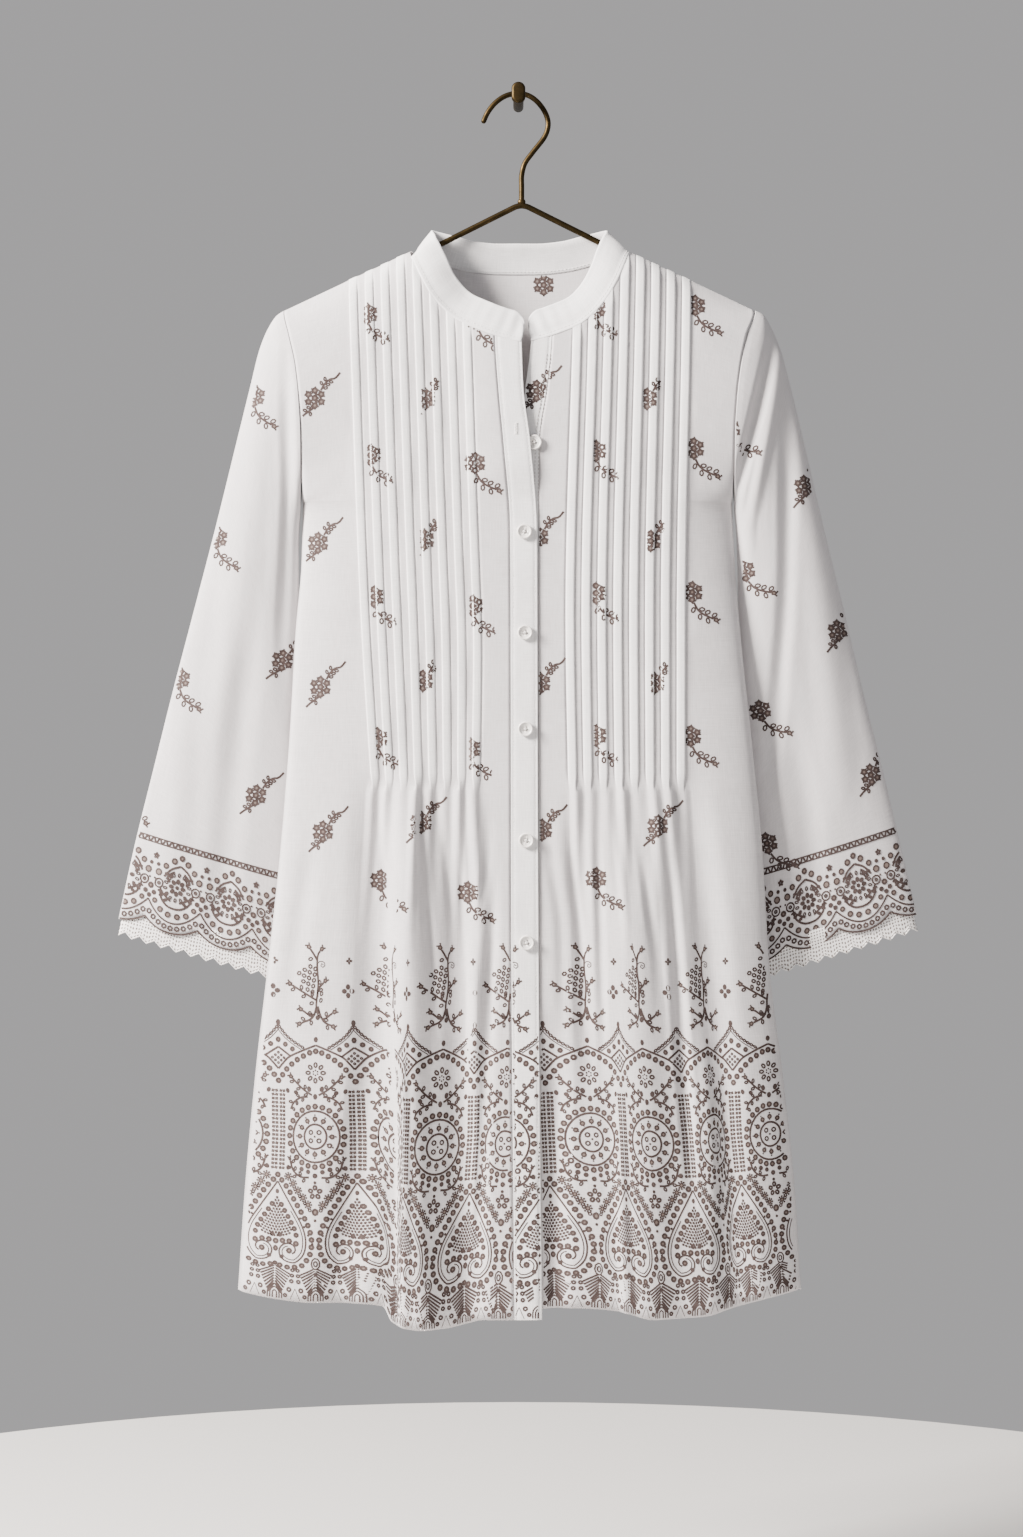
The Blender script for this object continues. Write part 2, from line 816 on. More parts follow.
def srgb(code: str) -> tuple[float, float, float, float]:
    """A hex colour as the linear colour that a shader takes."""
    parts = [int(code[k : k + 2], 16) / 255 for k in (1, 3, 5)]
    linear = [c / 12.92 if c <= 0.04045 else ((c + 0.055) / 1.055) ** 2.4 for c in parts]
    return linear[0], linear[1], linear[2], 1.0


class Surface:
    """A finish in the making: a Principled shader and the nodes that feed it.

    Sizes are in millimetres, and each method that adds a node gives its output.
    """

    def __init__(self, name: str, inputs: dict[str, Any]) -> None:
        """Makes the material with its plain values.

        Args:
            name: The material's name.
            inputs: Values of its shader's inputs.
        """
        self.material = bpy.data.materials.new(name)
        self.material.use_nodes = True
        self.tree = self.material.node_tree
        self.feed(self.tree.nodes["Principled BSDF"], inputs)

    def feed(self, node: bpy.types.Node, inputs: dict[Any, Any]) -> None:
        """Gives each of a node's inputs a value, or the socket that feeds it.

        Args:
            node: The node.
            inputs: The values or sockets, by the input's name or number.
        """
        for key, value in inputs.items():
            if isinstance(value, bpy.types.NodeSocket):
                self.tree.links.new(value, node.inputs[key])
            else:
                node.inputs[key].default_value = value

    def finished(self, inputs: dict[str, Any]) -> Finish:
        """The material, once these inputs of its shader are fed."""
        self.feed(self.tree.nodes["Principled BSDF"], inputs)
        return self.material

    def node(self, kind: str, inputs: dict[Any, Any], output: Any = 0, **settings: Any) -> Any:
        """Adds a node.

        Args:
            kind: Its type's name after ShaderNode.
            inputs: For each input, a value or the socket that feeds it.
            output: Which output is wanted.
            settings: Values of its own fields.

        Returns:
            The wanted output.
        """
        made = self.tree.nodes.new("ShaderNode" + kind)
        for key, value in settings.items():
            setattr(made, key, value)
        self.feed(made, inputs)
        return made.outputs[output]

    def on_cloth(self) -> Any:
        """Places along the cloth."""
        return self.node("UVMap", {}, "UV", uv_map="cloth")

    def in_space(self) -> Any:
        """Places in the piece's own space."""
        return self.node("TexCoord", {}, "Object")

    def noise(self, at: Any, size: float, detail: float, **more: float) -> Any:
        """A cloudy pattern with clouds of about this size."""
        scale = 1.0 / (size * MM)
        return self.node("TexNoise", {"Vector": at, "Scale": scale, "Detail": detail, **more}, "Fac")

    def bands(self, at: Any, period: float, way: str, bent: float = 0.0) -> Any:
        """Waves a period apart."""
        scale = WAVE_SCALE / (period * MM)
        inputs = {"Vector": at, "Scale": scale, "Distortion": bent}
        return self.node("TexWave", inputs, "Fac", bands_direction=way)

    def math(self, operation: str, first: Any, second: Any) -> Any:
        """A sum or a product."""
        return self.node("Math", {0: first, 1: second}, operation=operation)

    def scaled(self, value: Any, low: float, high: float, to: tuple[float, float] = (0.0, 1.0),
               **settings: Any) -> Any:
        """A value carried from one range to another, and held at its ends."""
        ends = {"From Min": low, "From Max": high, "To Min": to[0], "To Max": to[1]}
        return self.node("MapRange", {"Value": value, **ends}, **settings)

    def between(self, share: Any, first: str, second: str) -> Any:
        """A colour between two, by a share from 0 to 1."""
        return self.node("Mix", {0: share, 6: srgb(first), 7: srgb(second)}, 2, data_type="RGBA")

    def bump(self, height: Any, strength: float, depth: float, **below: Any) -> Any:
        """A normal that rises and falls with a height."""
        return self.node("Bump", {"Height": height, "Strength": strength, "Distance": depth * MM, **below})


@dataclass(frozen=True)
class Voile:
    """Cotton voile: plain woven from fine spun yarn, soft, matt and a little sheer.

    One layer lets the dark behind it through and looks greyer than a tuck of three.
    """

    name: str
    sheer: str = "#D4D0D1"
    dense: str = "#F4F2F2"
    thread: float = 1.3  # mm: real yarn is 0.2 mm apart, drawn as coarse as it can show
    yarn: float = 0.9  # mm: width of a stretch of uneven yarn
    slub: float = 14.0  # mm: length of the thicker stretches of yarn
    cloud: float = 45.0  # mm: size of the denser patches
    crease: float = 28.0  # mm: size of the soft creases
    weave_depth: float = 0.09
    crease_depth: float = 0.9

    def make(self) -> Finish:
        """Builds the material.

        Returns:
            The material.
        """
        made = Surface(self.name, {"Roughness": 0.88, "Sheen Weight": 0.25, "Sheen Roughness": 0.5,
                                   "Specular IOR Level": 0.25})
        at = made.on_cloth()
        layers = made.node("Attribute", {}, "Fac", attribute_name="plies")
        fine, long = 1.0 / (self.yarn * MM), 1.0 / (self.slub * MM)
        slubs = made.math("ADD", *(
            made.noise(made.node("Mapping", {"Vector": at, "Scale": scale}), 1.0 / MM, 2.0)
            for scale in ((fine, long, 1.0), (long, fine, 1.0))
        ))
        crossed = made.math("MULTIPLY", *(made.bands(at, self.thread, way) for way in ("X", "Y")))
        tone = made.scaled(slubs, 0.7, 1.3, (0.84, 1.0))
        blot = made.scaled(made.noise(at, self.cloud, 3.0), 0.3, 0.7, (0.93, 1.0))
        body = made.between(made.scaled(layers, 1.0, 3.0), self.sheer, self.dense)
        shade = made.math("MULTIPLY", tone, blot)
        woven = made.bump(made.math("ADD", slubs, crossed), 0.5, self.weave_depth)
        creases = made.noise(at, self.crease, 2.0, Roughness=0.35)
        return made.finished({
            "Base Color": made.node("VectorMath", {0: body, "Scale": shade}, operation="SCALE"),
            "Normal": made.bump(creases, 0.5, self.crease_depth, Normal=woven),
        })


@dataclass(frozen=True)
class Ink:
    """Block-printed dye: it lies in the yarn, flat and matt, a little uneven."""

    name: str
    colour: str = "#403634"
    worn: str = "#504543"
    patch: float = 6.0  # mm: size of the worn patches

    def make(self) -> Finish:
        """Builds the material."""
        made = Surface(self.name, {"Roughness": 0.92, "Specular IOR Level": 0.1})
        share = made.scaled(made.noise(made.in_space(), self.patch, 3.0), 0.35, 0.75)
        return made.finished({"Base Color": made.between(share, self.colour, self.worn)})


@dataclass(frozen=True)
class Yarn:
    """Spun cotton sewing thread and corded lace: white, matt, with a twist."""

    name: str
    colour: str = "#F0EEEC"
    shaded: str = "#D8D4D1"
    twist: float = 1.2  # mm: one turn of the thread, drawn coarser than it is

    def make(self) -> Finish:
        """Builds the material.

        Returns:
            The material.
        """
        made = Surface(self.name, {"Roughness": 0.85, "Sheen Weight": 0.2})
        band = made.bands(made.in_space(), self.twist, "DIAGONAL", 1.5)
        tone = made.between(band, self.shaded, self.colour)
        return made.finished({"Base Color": tone, "Normal": made.bump(band, 0.4, 0.1)})


@dataclass(frozen=True)
class Net:
    """The lace's ground: a net of fine cotton, white yarn over small dark meshes."""

    yarn: str = "#EFECEA"
    mesh: str = "#6E6561"
    pitch: float = 2.6  # mm: one mesh of the net

    def make(self) -> Finish:
        """Builds the material.

        Returns:
            The material.
        """
        made = Surface("cotton net lace", {"Roughness": 0.88, "Sheen Weight": 0.2})
        cells = made.node("TexVoronoi", {"Vector": made.on_cloth(), "Scale": 1.0 / (self.pitch * MM),
                                         "Randomness": 0.15}, "Distance")
        hole = made.scaled(cells, 0.2, 0.38, interpolation_type="SMOOTHSTEP")
        tone = made.between(hole, self.mesh, self.yarn)
        return made.finished({"Base Color": tone, "Normal": made.bump(hole, 0.8, 0.3)})


@dataclass(frozen=True)
class Shell:
    """Trocas shell, turned and polished: white with a soft pearly cloud and gloss."""

    pale: str = "#F3F0EC"
    cloud: str = "#D9D3CE"
    drift: float = 5.0  # mm: size of the pearly clouds

    def make(self) -> Finish:
        """Builds the material.

        Returns:
            The material.
        """
        made = Surface("polished shell", {"Roughness": 0.28, "IOR": 1.53, "Coat Weight": 0.3,
                                          "Coat Roughness": 0.15})
        drift = made.noise(made.in_space(), self.drift, 2.0, Distortion=1.2)
        return made.finished({"Base Color": made.between(drift, self.pale, self.cloud)})


@dataclass(frozen=True)
class Bronze:
    """Antiqued brass wire: dark brown patina rubbed back to warm metal on its crown."""

    patina: str = "#2E2617"
    bare: str = "#453823"
    grain: float = 7.0  # mm: size of the rubbed patches
    speck: float = 0.8  # mm: size of the fine pits

    def make(self) -> Finish:
        """Builds the material.

        Returns:
            The material.
        """
        made = Surface("antiqued brass", {"Metallic": 1.0})
        at = made.in_space()
        rubbed = made.scaled(made.noise(at, self.grain, 4.0, Roughness=0.6), 0.42, 0.72)
        return made.finished({
            "Base Color": made.between(rubbed, self.patina, self.bare),
            "Roughness": made.scaled(rubbed, 0.0, 1.0, (0.5, 0.42)),
            "Normal": made.bump(made.noise(at, self.speck, 2.0), 0.3, 0.05),
        })


@dataclass(frozen=True)
class Finishes:
    """Every finish of the part, made once."""

    voile: Finish
    facing: Finish
    ink: Finish
    wash: Finish
    thread: Finish
    sunk: Finish
    net: Finish
    shell: Finish
    bronze: Finish


def make_finishes() -> Finishes:
    """Makes the finishes.

    Returns:
        The finishes.
    """
    return Finishes(
        voile=Voile("cotton voile").make(),
        facing=Voile("doubled voile", sheer="#EDEBEC").make(),
        ink=Ink("block print dye").make(),
        wash=Ink("thin block print dye", colour="#6B5E59", worn="#7C6F69").make(),
        thread=Yarn("sewing thread").make(),
        sunk=Yarn("sewing thread sunk in a seam", colour="#A89F9B", shaded="#8A817D").make(),
        net=Net().make(),
        shell=Shell().make(),
        bronze=Bronze().make(),
    )


# The cloth of the body


class Pleat(NamedTuple):
    """A point of a tuck's section: its share of the width, its depth, its layers."""

    share: float
    depth: float
    plies: float


TUCK_SECTION = [Pleat(*row) for row in (
    (-0.02, 0.0, 1), (0.0, -0.12, 1), (0.05, 0.55, 3), (0.2, 1.05, 3), (0.5, 1.3, 3), (0.8, 1.4, 3),
    (0.94, 1.42, 3), (1.0, 1.15, 3), (0.95, 0.85, 3), (0.5, 0.7, 3), (0.12, 0.5, 3), (0.06, 0.25, 1),
    (0.14, 0.02, 1), (0.5, -0.05, 1), (0.9, 0.0, 1), (1.0, 0.0, 1),
)]
LANDINGS = (0.36, 0.7)  # columns on the plain cloth between two tucks
RELEASE_ROWS = (-579.0, -583.0, -587.0, -591.0, -595.0, -599.0, -604.0, -610.0)
OVER_RELEASE_Z = -574.0
UNDER_RELEASE_Z = -618.0
TUCKED_STEPS, SKIRT_STEPS = 20, 42
HEM_TURN_Z = -900.0
HEM_READ_Z = -1040.0
TOP_GUESS_Z = -150.0
TOP_ROUNDS = 14
SEAM_DRAW = 16.0  # how far down a panel its cloth is drawn back to the shoulder seam


def outward(depth_at: Callable[[Array, Array], Array], x: Array, z: Array) -> Array:
    """The unit normals, towards the front, of a surface given as a depth over x and z.

    Args:
        depth_at: Gives y at each x and z.
        x: Where across.
        z: Where up.

    Returns:
        The normals, with a last axis of 3.
    """
    step = 0.6
    slope_x = (depth_at(x + step, z) - depth_at(x - step, z)) / (2 * step)
    slope_z = (depth_at(x, z + step) - depth_at(x, z - step)) / (2 * step)
    return unit(np.stack([slope_x, -np.ones_like(slope_x), slope_z], axis=-1))


def settled(top_at: Callable[[Array], Array], place: Callable[[Array], Array], count: int) -> Array:
    """The height at which each column meets its top line.

    Args:
        top_at: The top line's height at each place across.
        place: Each column's place across at its height.
        count: How many columns there are.

    Returns:
        The heights.
    """
    z = np.full(count, TOP_GUESS_Z)
    for _ in range(TOP_ROUNDS):
        z = 0.5 * z + 0.5 * top_at(place(z))
    return z


def row_heights(top: Array, hem: Array, upper: int, close: bool) -> Array:
    """The heights of a body panel's points, from its top line to its hem.

    Args:
        top: Each column's top.
        hem: Each column's hem.
        upper: How many steps there are down to the armpit.
        close: Whether the rows are close where the tucks are released.

    Returns:
        Rows by columns.
    """
    turn = np.linspace(0.0, math.pi, upper + 1)[:, None]
    above = top + (ARMPIT_Z - top) * (1.0 - np.cos(turn)) / 2.0
    near = RELEASE_ROWS if close else ()
    tucked = np.linspace(ARMPIT_Z, OVER_RELEASE_Z, TUCKED_STEPS)[1:]
    below = [*tucked, *near, *np.linspace(UNDER_RELEASE_Z, HEM_MEAN_Z, SKIRT_STEPS)]
    fixed = np.repeat(np.array(below)[:, None], len(top), axis=1)
    share = (fixed - HEM_TURN_Z) / (HEM_MEAN_Z - HEM_TURN_Z)
    return np.concatenate([above, np.where(share > 0, HEM_TURN_Z + share * (hem - HEM_TURN_Z), fixed)])


def seamed(top_y: Array, on_shoulder: Array, way: float, down: Array) -> Array:
    """How far to draw a panel's cloth back so that its top meets the shoulder seam."""
    gap = np.where(on_shoulder, RIDGE_Y + way * SEAM_GAP / 2 - top_y, 0.0)
    return gap * (1.0 - ramp(down / SEAM_DRAW))


class Cloth:
    """A piece of cloth, and what is kept of it for the pieces that lie on it."""

    name: str  # the solid that it stands for
    wall: float
    piece: Piece
    carrier: BVHTree
    area: float

    def sew(self, dresser: Dresser, bm: Mesh, way_out: Callable[[Vector], Vector], finish: Finish,
            slot: str = "voile") -> None:
        """Makes the cloth's middle a piece with a wall, and keeps what lies on it needs.

        Args:
            dresser: What places it.
            bm: The middle of the cloth, which is freed.
            way_out: Which way its faces point.
            finish: Its material.
            slot: Its material slot in the record.
        """
        facing(bm, way_out)
        self.carrier = BVHTree.FromBMesh(bm)
        self.piece = dresser.place("cloth_" + self.name, bm, finish, [self.name], slot)
        self.area = cloth_area(self.piece)
        thicken(self.piece, self.wall)


@dataclass
class FrontPanel(Cloth):
    """A front panel: eight stitched tucks, released into a hanging skirt.

    Its columns lie between anchors: 0 is the opening's seam, then come the tucks'
    stitch lines, their fold edges, the foot beside the last one, and the side seam.
    """

    side: Side
    wall: float = 0.5
    foot: float = 5.0
    lead_columns: int = 9
    side_columns: int = 15
    upper_rows: int = 42
    release_swell: float = 2.6
    release_fade: float = 130.0
    slack: float = 0.28
    pressed: float = 0.35  # share of a tuck's depth at its very top
    press_fade: float = 14.0

    def __post_init__(self) -> None:
        """Lays out the columns: two anchors, the share between them, depth and layers."""
        foot, edge = 2 * TUCKS + 1, 2 * TUCKS + 2
        count = len(TUCK_SECTION) + len(LANDINGS)
        lead = np.linspace(0.0, 1.0, self.lead_columns, endpoint=False)
        end = np.linspace(0.0, 1.0, self.side_columns) ** 0.8
        folded = [(0, 1, t, 0.0, 1.0) for t in lead]
        spread = [(0, 1, t, -1) for t in lead]
        for k in range(TUCKS):
            stitch, fold = 1 + k, 1 + TUCKS + k
            following = foot if k == TUCKS - 1 else stitch + 1
            folded += [(stitch, fold, *pleat) for pleat in TUCK_SECTION]
            folded += [(fold, following, t, 0.0, 1.0) for t in LANDINGS]
            spread += [(stitch, following, (j + 0.5) / count, k) for j in range(count)]
        self.folded = np.array(folded + [(foot, edge, t, 0.0, 1.0) for t in end])
        self.spread = np.array(spread + [(foot, edge, t, -1) for t in end])
        neck = self.lead_columns + (TUCKS - NECK_TUCK) * count - len(LANDINGS)
        self.on_shoulder = np.arange(len(self.folded)) >= neck
        self.name = "front_" + self.side.word

    def mix(self, rows: Array, z: Array) -> Array:
        """The place across of each column, between the two anchors of its row.

        Args:
            rows: The columns, each with its two anchors and the share between them.
            z: The columns' heights.

        Returns:
            The places across.
        """
        held = np.maximum(z, TUCK_LINES[0].z)
        fold = np.stack([tuck_x(self.side, k, held) for k in range(TUCKS - 1, -1, -1)])
        stitch = fold - self.side.value * TUCK_WIDTH
        seam, edge = opening_x(self.side, Line.SEAM, held), side_x(self.side, held)
        foot = fold[-1] + self.side.value * self.foot
        anchors = np.concatenate([seam[None], stitch, fold, foot[None], edge[None]])
        row, column = np.indices(z.shape)
        near, far = rows[:, 0].astype(int)[column], rows[:, 1].astype(int)[column]
        x = anchors[near, row, column] * (1 - rows[:, 2]) + anchors[far, row, column] * rows[:, 2]
        share = (x - seam) / (edge - seam)
        start = opening_x(self.side, Line.SEAM, z)
        return start + share * (side_x(self.side, z) - start)

    def across(self, z: Array) -> Array:
        """Every column's x at its own height, folded above the release."""
        opened = released(z)
        return self.mix(self.folded, z) * (1 - opened) + self.mix(self.spread, z) * opened

    def at_row(self, z: Array) -> Array:
        """Every column's x in one row."""
        return self.across(z[None])[0]

    def top_at(self, x: Array) -> Array:
        """The top line: the neck seam, then the shoulder seam."""
        ridge = ridge_z(x)
        return np.where(self.on_shoulder, ridge, np.minimum(neck_z(self.side, x), ridge))

    def relief(self, z: Array, top: Array) -> Array:
        """How far the cloth stands off its plain surface: the tucks and their ease.

        Args:
            z: The columns' heights.
            top: Each column's top.

        Returns:
            The reliefs.
        """
        opened = released(z)
        sewn = self.pressed + (1.0 - self.pressed) * ramp((top - z) / self.press_fade)
        depth = self.folded[:, 3] * (1 - opened) * sewn
        k, u = self.spread[:, 3], self.spread[:, 2]
        strength = np.where(k < 0, 0.0, 0.75 + 0.45 * np.sin(2.4 * k + self.side.value))
        fade = self.release_fade * (1.0 + 0.3 * np.sin(1.9 * k))
        eases = ramp((z - RELEASE_Z + fade) / fade) * opened
        depth = depth + self.release_swell * strength * np.sin(np.pi * u) ** 2 * eases
        lift = np.sin(z / 19.0 + 1.3 * k) * np.sin(z / 47.0 + 0.7 * k)
        return depth + self.slack * lift * (k >= 0) * (1 - opened)

    def grid(self) -> tuple[Array, Array]:
        """The middle of the panel's cloth, and its layers, as rows down the panel.

        Returns:
            The points and the layers.
        """
        count = len(self.folded)
        top = settled(self.top_at, self.at_row, count)
        top[-1] = SHOULDER_TIP_Z
        hem = hem_z(self.side, self.at_row(np.full(count, HEM_READ_Z)))
        z = row_heights(top, hem, self.upper_rows, True)
        x = self.across(z)
        depth_at = partial(front_y, self.side)
        raised = self.relief(z, top) + fold_rise(FRONT_CREASES, x, z)
        places = np.stack([x, depth_at(x, z), z], axis=-1) + outward(depth_at, x, z) * raised[..., None]
        places[0, :, 1] = np.minimum(places[0, :, 1], RIDGE_Y - SEAM_GAP / 2)
        places[..., 1] += seamed(places[0, :, 1], self.on_shoulder, -1.0, top - z)
        places[self.upper_rows :, -1, 1] -= SEAM_GAP / 2
        opened = released(z)
        return places, self.folded[:, 4] * (1 - opened) + opened

    def build(self, dresser: Dresser, finish: Finish) -> None:
        """Makes the panel."""
        self.sew(dresser, grid_mesh(*self.grid()), lambda _: FRONT, finish)


@dataclass
class BackPanel(Cloth):
    """The back: one plain width from shoulder to hem."""

    name: str = "back"
    wall: float = 0.5
    upper_rows: int = 40
    side_steps: int = 20
    neck_steps: int = 40

    def __post_init__(self) -> None:
        """Sets places across, from the right side seam to the left, with both neck points."""
        right, left = (float(side_x(side, SHOULDER_TIP_Z)) for side in Side)
        necks = [(NECK_POINTS[side][0] - right) / (left - right) for side in Side]
        edge = np.linspace(0.0, 1.0, self.side_steps, endpoint=False) ** 1.25
        middle = np.linspace(necks[0], necks[1], self.neck_steps + 1)
        self.shares = np.r_[edge * necks[0], middle, 1.0 - (edge * (1.0 - necks[1]))[::-1]]

    def across(self, z: Array) -> Array:
        """Every column's x at its own height."""
        right, left = side_x(Side.RIGHT, z), side_x(Side.LEFT, z)
        return right + self.shares * (left - right)

    def grid(self) -> Array:
        """The middle of the back's cloth, as rows down the back.

        Returns:
            The points.
        """
        x = self.across(np.full(len(self.shares), SHOULDER_TIP_Z))
        inside = (x > NECK_POINTS[Side.RIGHT][0] + 0.1) & (x < NECK_POINTS[Side.LEFT][0] - 0.1)
        top = np.where(inside, eased(BACK_NECK, "x", "z", np.abs(x)), ridge_z(x))
        z = row_heights(top, back_hem_z(self.shares), self.upper_rows, False)
        x = self.across(z)
        places = np.stack([x, body_y(x, z, False), z], axis=-1)
        places[0, :, 1] = np.maximum(places[0, :, 1], RIDGE_Y + SEAM_GAP / 2)
        places[..., 1] += seamed(places[0, :, 1], ~inside, 1.0, top - z)
        places[self.upper_rows :, (0, -1), 1] += SEAM_GAP / 2
        return places

    def build(self, dresser: Dresser, finish: Finish) -> None:
        """Makes the back."""
        self.sew(dresser, grid_mesh(self.grid()), lambda _: BACK, finish)


@dataclass
class Placket(Cloth):
    """A doubled strip down the front opening, stitched near both edges."""

    side: Side
    wall: float = 1.0
    upper_rows: int = 30
    stitch_in: float = 2.2
    groove: float = 0.3
    groove_width: float = 0.7
    puff: float = 0.25
    pucker: float = 0.12
    pucker_pitch: float = 2.1
    pucker_width: float = 2.2
    edge_round: float = 0.3
    edge_shares: tuple[float, ...] = (0.0, 0.03, 0.065, 0.095, 0.125, 0.17, 0.26, 0.38)

    def __post_init__(self) -> None:
        """Names the strip: the one on the wearer's right lies on top."""
        self.name = "placket_" + self.side.pick("top", "under")

    def place(self, share: Any, z: Any) -> Array:
        """A place across the strip, from its free edge to its seam."""
        free = opening_x(self.side, Line.FREE, z)
        seam = opening_x(self.side, Line.SEAM, z) - self.side.value * SEAM_GAP
        return free + share * (seam - free)

    def width(self, z: Array) -> Array:
        """How wide the strip is at each height."""
        return np.abs(self.place(1.0, z) - self.place(0.0, z))

    def surface(self, share: Array, z: Array) -> Array:
        """The middle of the strip's cloth at these places.

        Args:
            share: Shares of the way from the free edge to the seam.
            z: Where up.

        Returns:
            The points.
        """
        x = self.place(share, z)
        gone = np.minimum(share, 1.0 - share) * self.width(z)
        channel = np.exp(-(((gone - self.stitch_in) / self.groove_width) ** 2))
        crown = self.puff * ramp(gone / (1.8 * self.stitch_in))
        near = np.exp(-((gone - self.stitch_in) / self.pucker_width) ** 2)
        pucker = self.pucker * np.sin(z / self.pucker_pitch) * near
        y = front_y(self.side, x, z) + self.groove * channel - crown + pucker
        return np.stack([x, y, z], axis=-1)

    def build(self, dresser: Dresser, finish: Finish) -> None:
        """Makes the strip.

        Args:
            dresser: What places the pieces.
            finish: The cloth's material.
        """
        shares = np.array([*self.edge_shares, 0.5, *(1.0 - s for s in reversed(self.edge_shares))])
        top = settled(
            lambda x: np.minimum(neck_z(self.side, x), ridge_z(x)), partial(self.place, shares),
            len(shares),
        )
        hem = hem_z(self.side, self.place(shares, np.full(len(shares), HEM_READ_Z)))
        z = row_heights(top, hem, self.upper_rows, False)
        places = self.surface(np.broadcast_to(shares, z.shape), z)
        bm = grid_mesh(places, np.full(z.shape, 3.0))
        self.sew(dresser, bm, lambda _: FRONT, finish, "doubled_voile")
        soften(self.piece, self.edge_round)


class Profile(NamedTuple):
    """A point of the band's section: how far up, as a share and in mm, and out."""

    share: float
    up: float
    out: float


BAND_SECTION = [Profile(*row) for row in (
    (0.0, -0.6, 0.0), (0.0, -0.9, 0.45), (0.0, -0.3, 0.85), (0.0, 1.2, 0.95), (0.0, 2.4, 0.7),
    (0.15, 1.5, 1.0), (0.3, 0.0, 1.45), (0.55, 0.0, 1.6), (0.8, 0.0, 1.3), (1.0, -2.6, 1.0),
    (1.0, -1.5, 1.12), (1.0, -0.4, 0.95), (1.0, 0.15, 0.35), (1.0, 0.1, -0.35), (1.0, -0.6, -0.75),
    (0.8, 0.0, -0.35), (0.5, 0.0, -0.1), (0.2, 0.0, -0.35), (0.0, 2.2, -0.7), (0.0, 0.6, -0.8),
    (0.0, -0.5, -0.55), (0.0, -0.6, 0.0),
)]


class BandFrame(NamedTuple):
    """The band's seam: its points, how far along they are, and there the way up, out and how high."""

    line: Array
    lengths: Array
    up: Array
    height: Array
    out: Array


@dataclass
class CollarBand(Cloth):
    """The stand band: doubled cloth that rises from the neck seam and leans inwards."""

    name: str = "collar_band"
    steps: int = 60
    ripple: float = 0.6
    ripple_pitch: float = 1.9
    ripple_fade: float = 26.0
    slack: float = 0.5
    slack_pitch: float = 17.0
    smoothing: int = 9

    def seam(self) -> Array:
        """The neck seam, from the top placket's edge round to the under placket's.

        Returns:
            The points.
        """
        front = {}
        for side in Side:
            start = float(opening_x(side, Line.FREE, -211.0))
            x = start + (NECK_POINTS[side][0] - start) * np.linspace(0, 1, self.steps)
            z = np.minimum(neck_z(side, x), ridge_z(x))
            y = np.minimum(front_y(side, x, z), RIDGE_Y - SEAM_GAP / 2)
            front[side] = np.stack([x, y, z], axis=1)
        right, left = (NECK_POINTS[side][0] for side in Side)
        x = np.linspace(right, left, 2 * self.steps)[1:-1]
        z = eased(BACK_NECK, "x", "z", np.abs(x))
        y = np.maximum(body_y(x, z, False), RIDGE_Y + SEAM_GAP / 2)
        back = np.stack([x, y, z], axis=1)
        return np.concatenate([front[Side.RIGHT], back, front[Side.LEFT][::-1]])

    def frame(self) -> BandFrame:
        """The band's seam, and how the band stands on it.

        Returns:
            The seam's points, and what goes with each.
        """
        line = self.seam()
        lengths = np.linspace(0.0, path_lengths(line)[-1], 5 * self.steps)
        line = along(line, lengths)
        necks = [int(np.argmin(np.abs(line[:, 0] - NECK_POINTS[side][0]))) for side in Side]
        marks = [0.0, lengths[necks[0]], lengths[necks].mean(), lengths[necks[1]], lengths[-1]]
        stations = np.interp(lengths, marks, [0.0, 1.0, 2.0, 3.0, 4.0])
        folded = np.minimum(stations, 4.0 - stations)
        across, back, up = (eased(BAND, "station", key, folded) for key in ("across", "back", "up"))
        way = np.stack([np.where(stations > 2.0, -across, across), back, up], axis=1)
        near = np.minimum(lengths, lengths[-1] - lengths)
        height = np.linalg.norm(way, axis=1) - BAND_END_ROUND * (1.0 - quarter(near / BAND_END_ROUND))
        out = unit(np.cross(unit(way), np.gradient(line, axis=0)))
        for k in range(1, len(out)):
            out[k] *= 1.0 if out[k] @ out[k - 1] > 0 else -1.0
        out *= -1.0 if out[0][1] > 0 else 1.0
        kernel = np.hanning(self.smoothing)
        kernel /= kernel.sum()
        padded = np.pad(out, ((self.smoothing // 2,) * 2, (0, 0)), mode="edge")
        out = unit(np.stack([np.convolve(column, kernel, "valid") for column in padded.T], axis=1))
        return BandFrame(line, lengths, unit(way), height, out)

    def build(self, dresser: Dresser, finish: Finish) -> None:
        """Makes the band as one rounded section carried round the neck.

        Args:
            dresser: What places the pieces.
            finish: The cloth's material.
        """
        line, lengths, way, height, out = self.frame()
        near = np.minimum(lengths, lengths[-1] - lengths)
        columns = []
        for row in BAND_SECTION:
            up = BAND_SEAM_GAP + row.share * height + row.up
            ripple = self.ripple * np.sin(near / self.ripple_pitch + 2.0 * row.share)
            ripple = ripple * np.exp(-near / self.ripple_fade)
            ripple = ripple * math.sin(math.pi * (0.1 + 0.72 * row.share))
            slack = self.slack * np.sin(lengths / self.slack_pitch) * row.share
            columns.append(line + way * up[:, None] + out * (row.out + ripple + slack)[:, None])
        places = np.array(columns).transpose(1, 0, 2)
        bm = grid_mesh(places, np.full(places.shape[:2], 3.0), wrapped=True)
        close_ends(bm)
        self.piece = dresser.place("cloth_collar_band", bm, finish, ["collar_band"], "doubled_voile")
        self.length = float(lengths[-1])
        self.area = cloth_area(self.piece) / 2


# Sleeves and lace


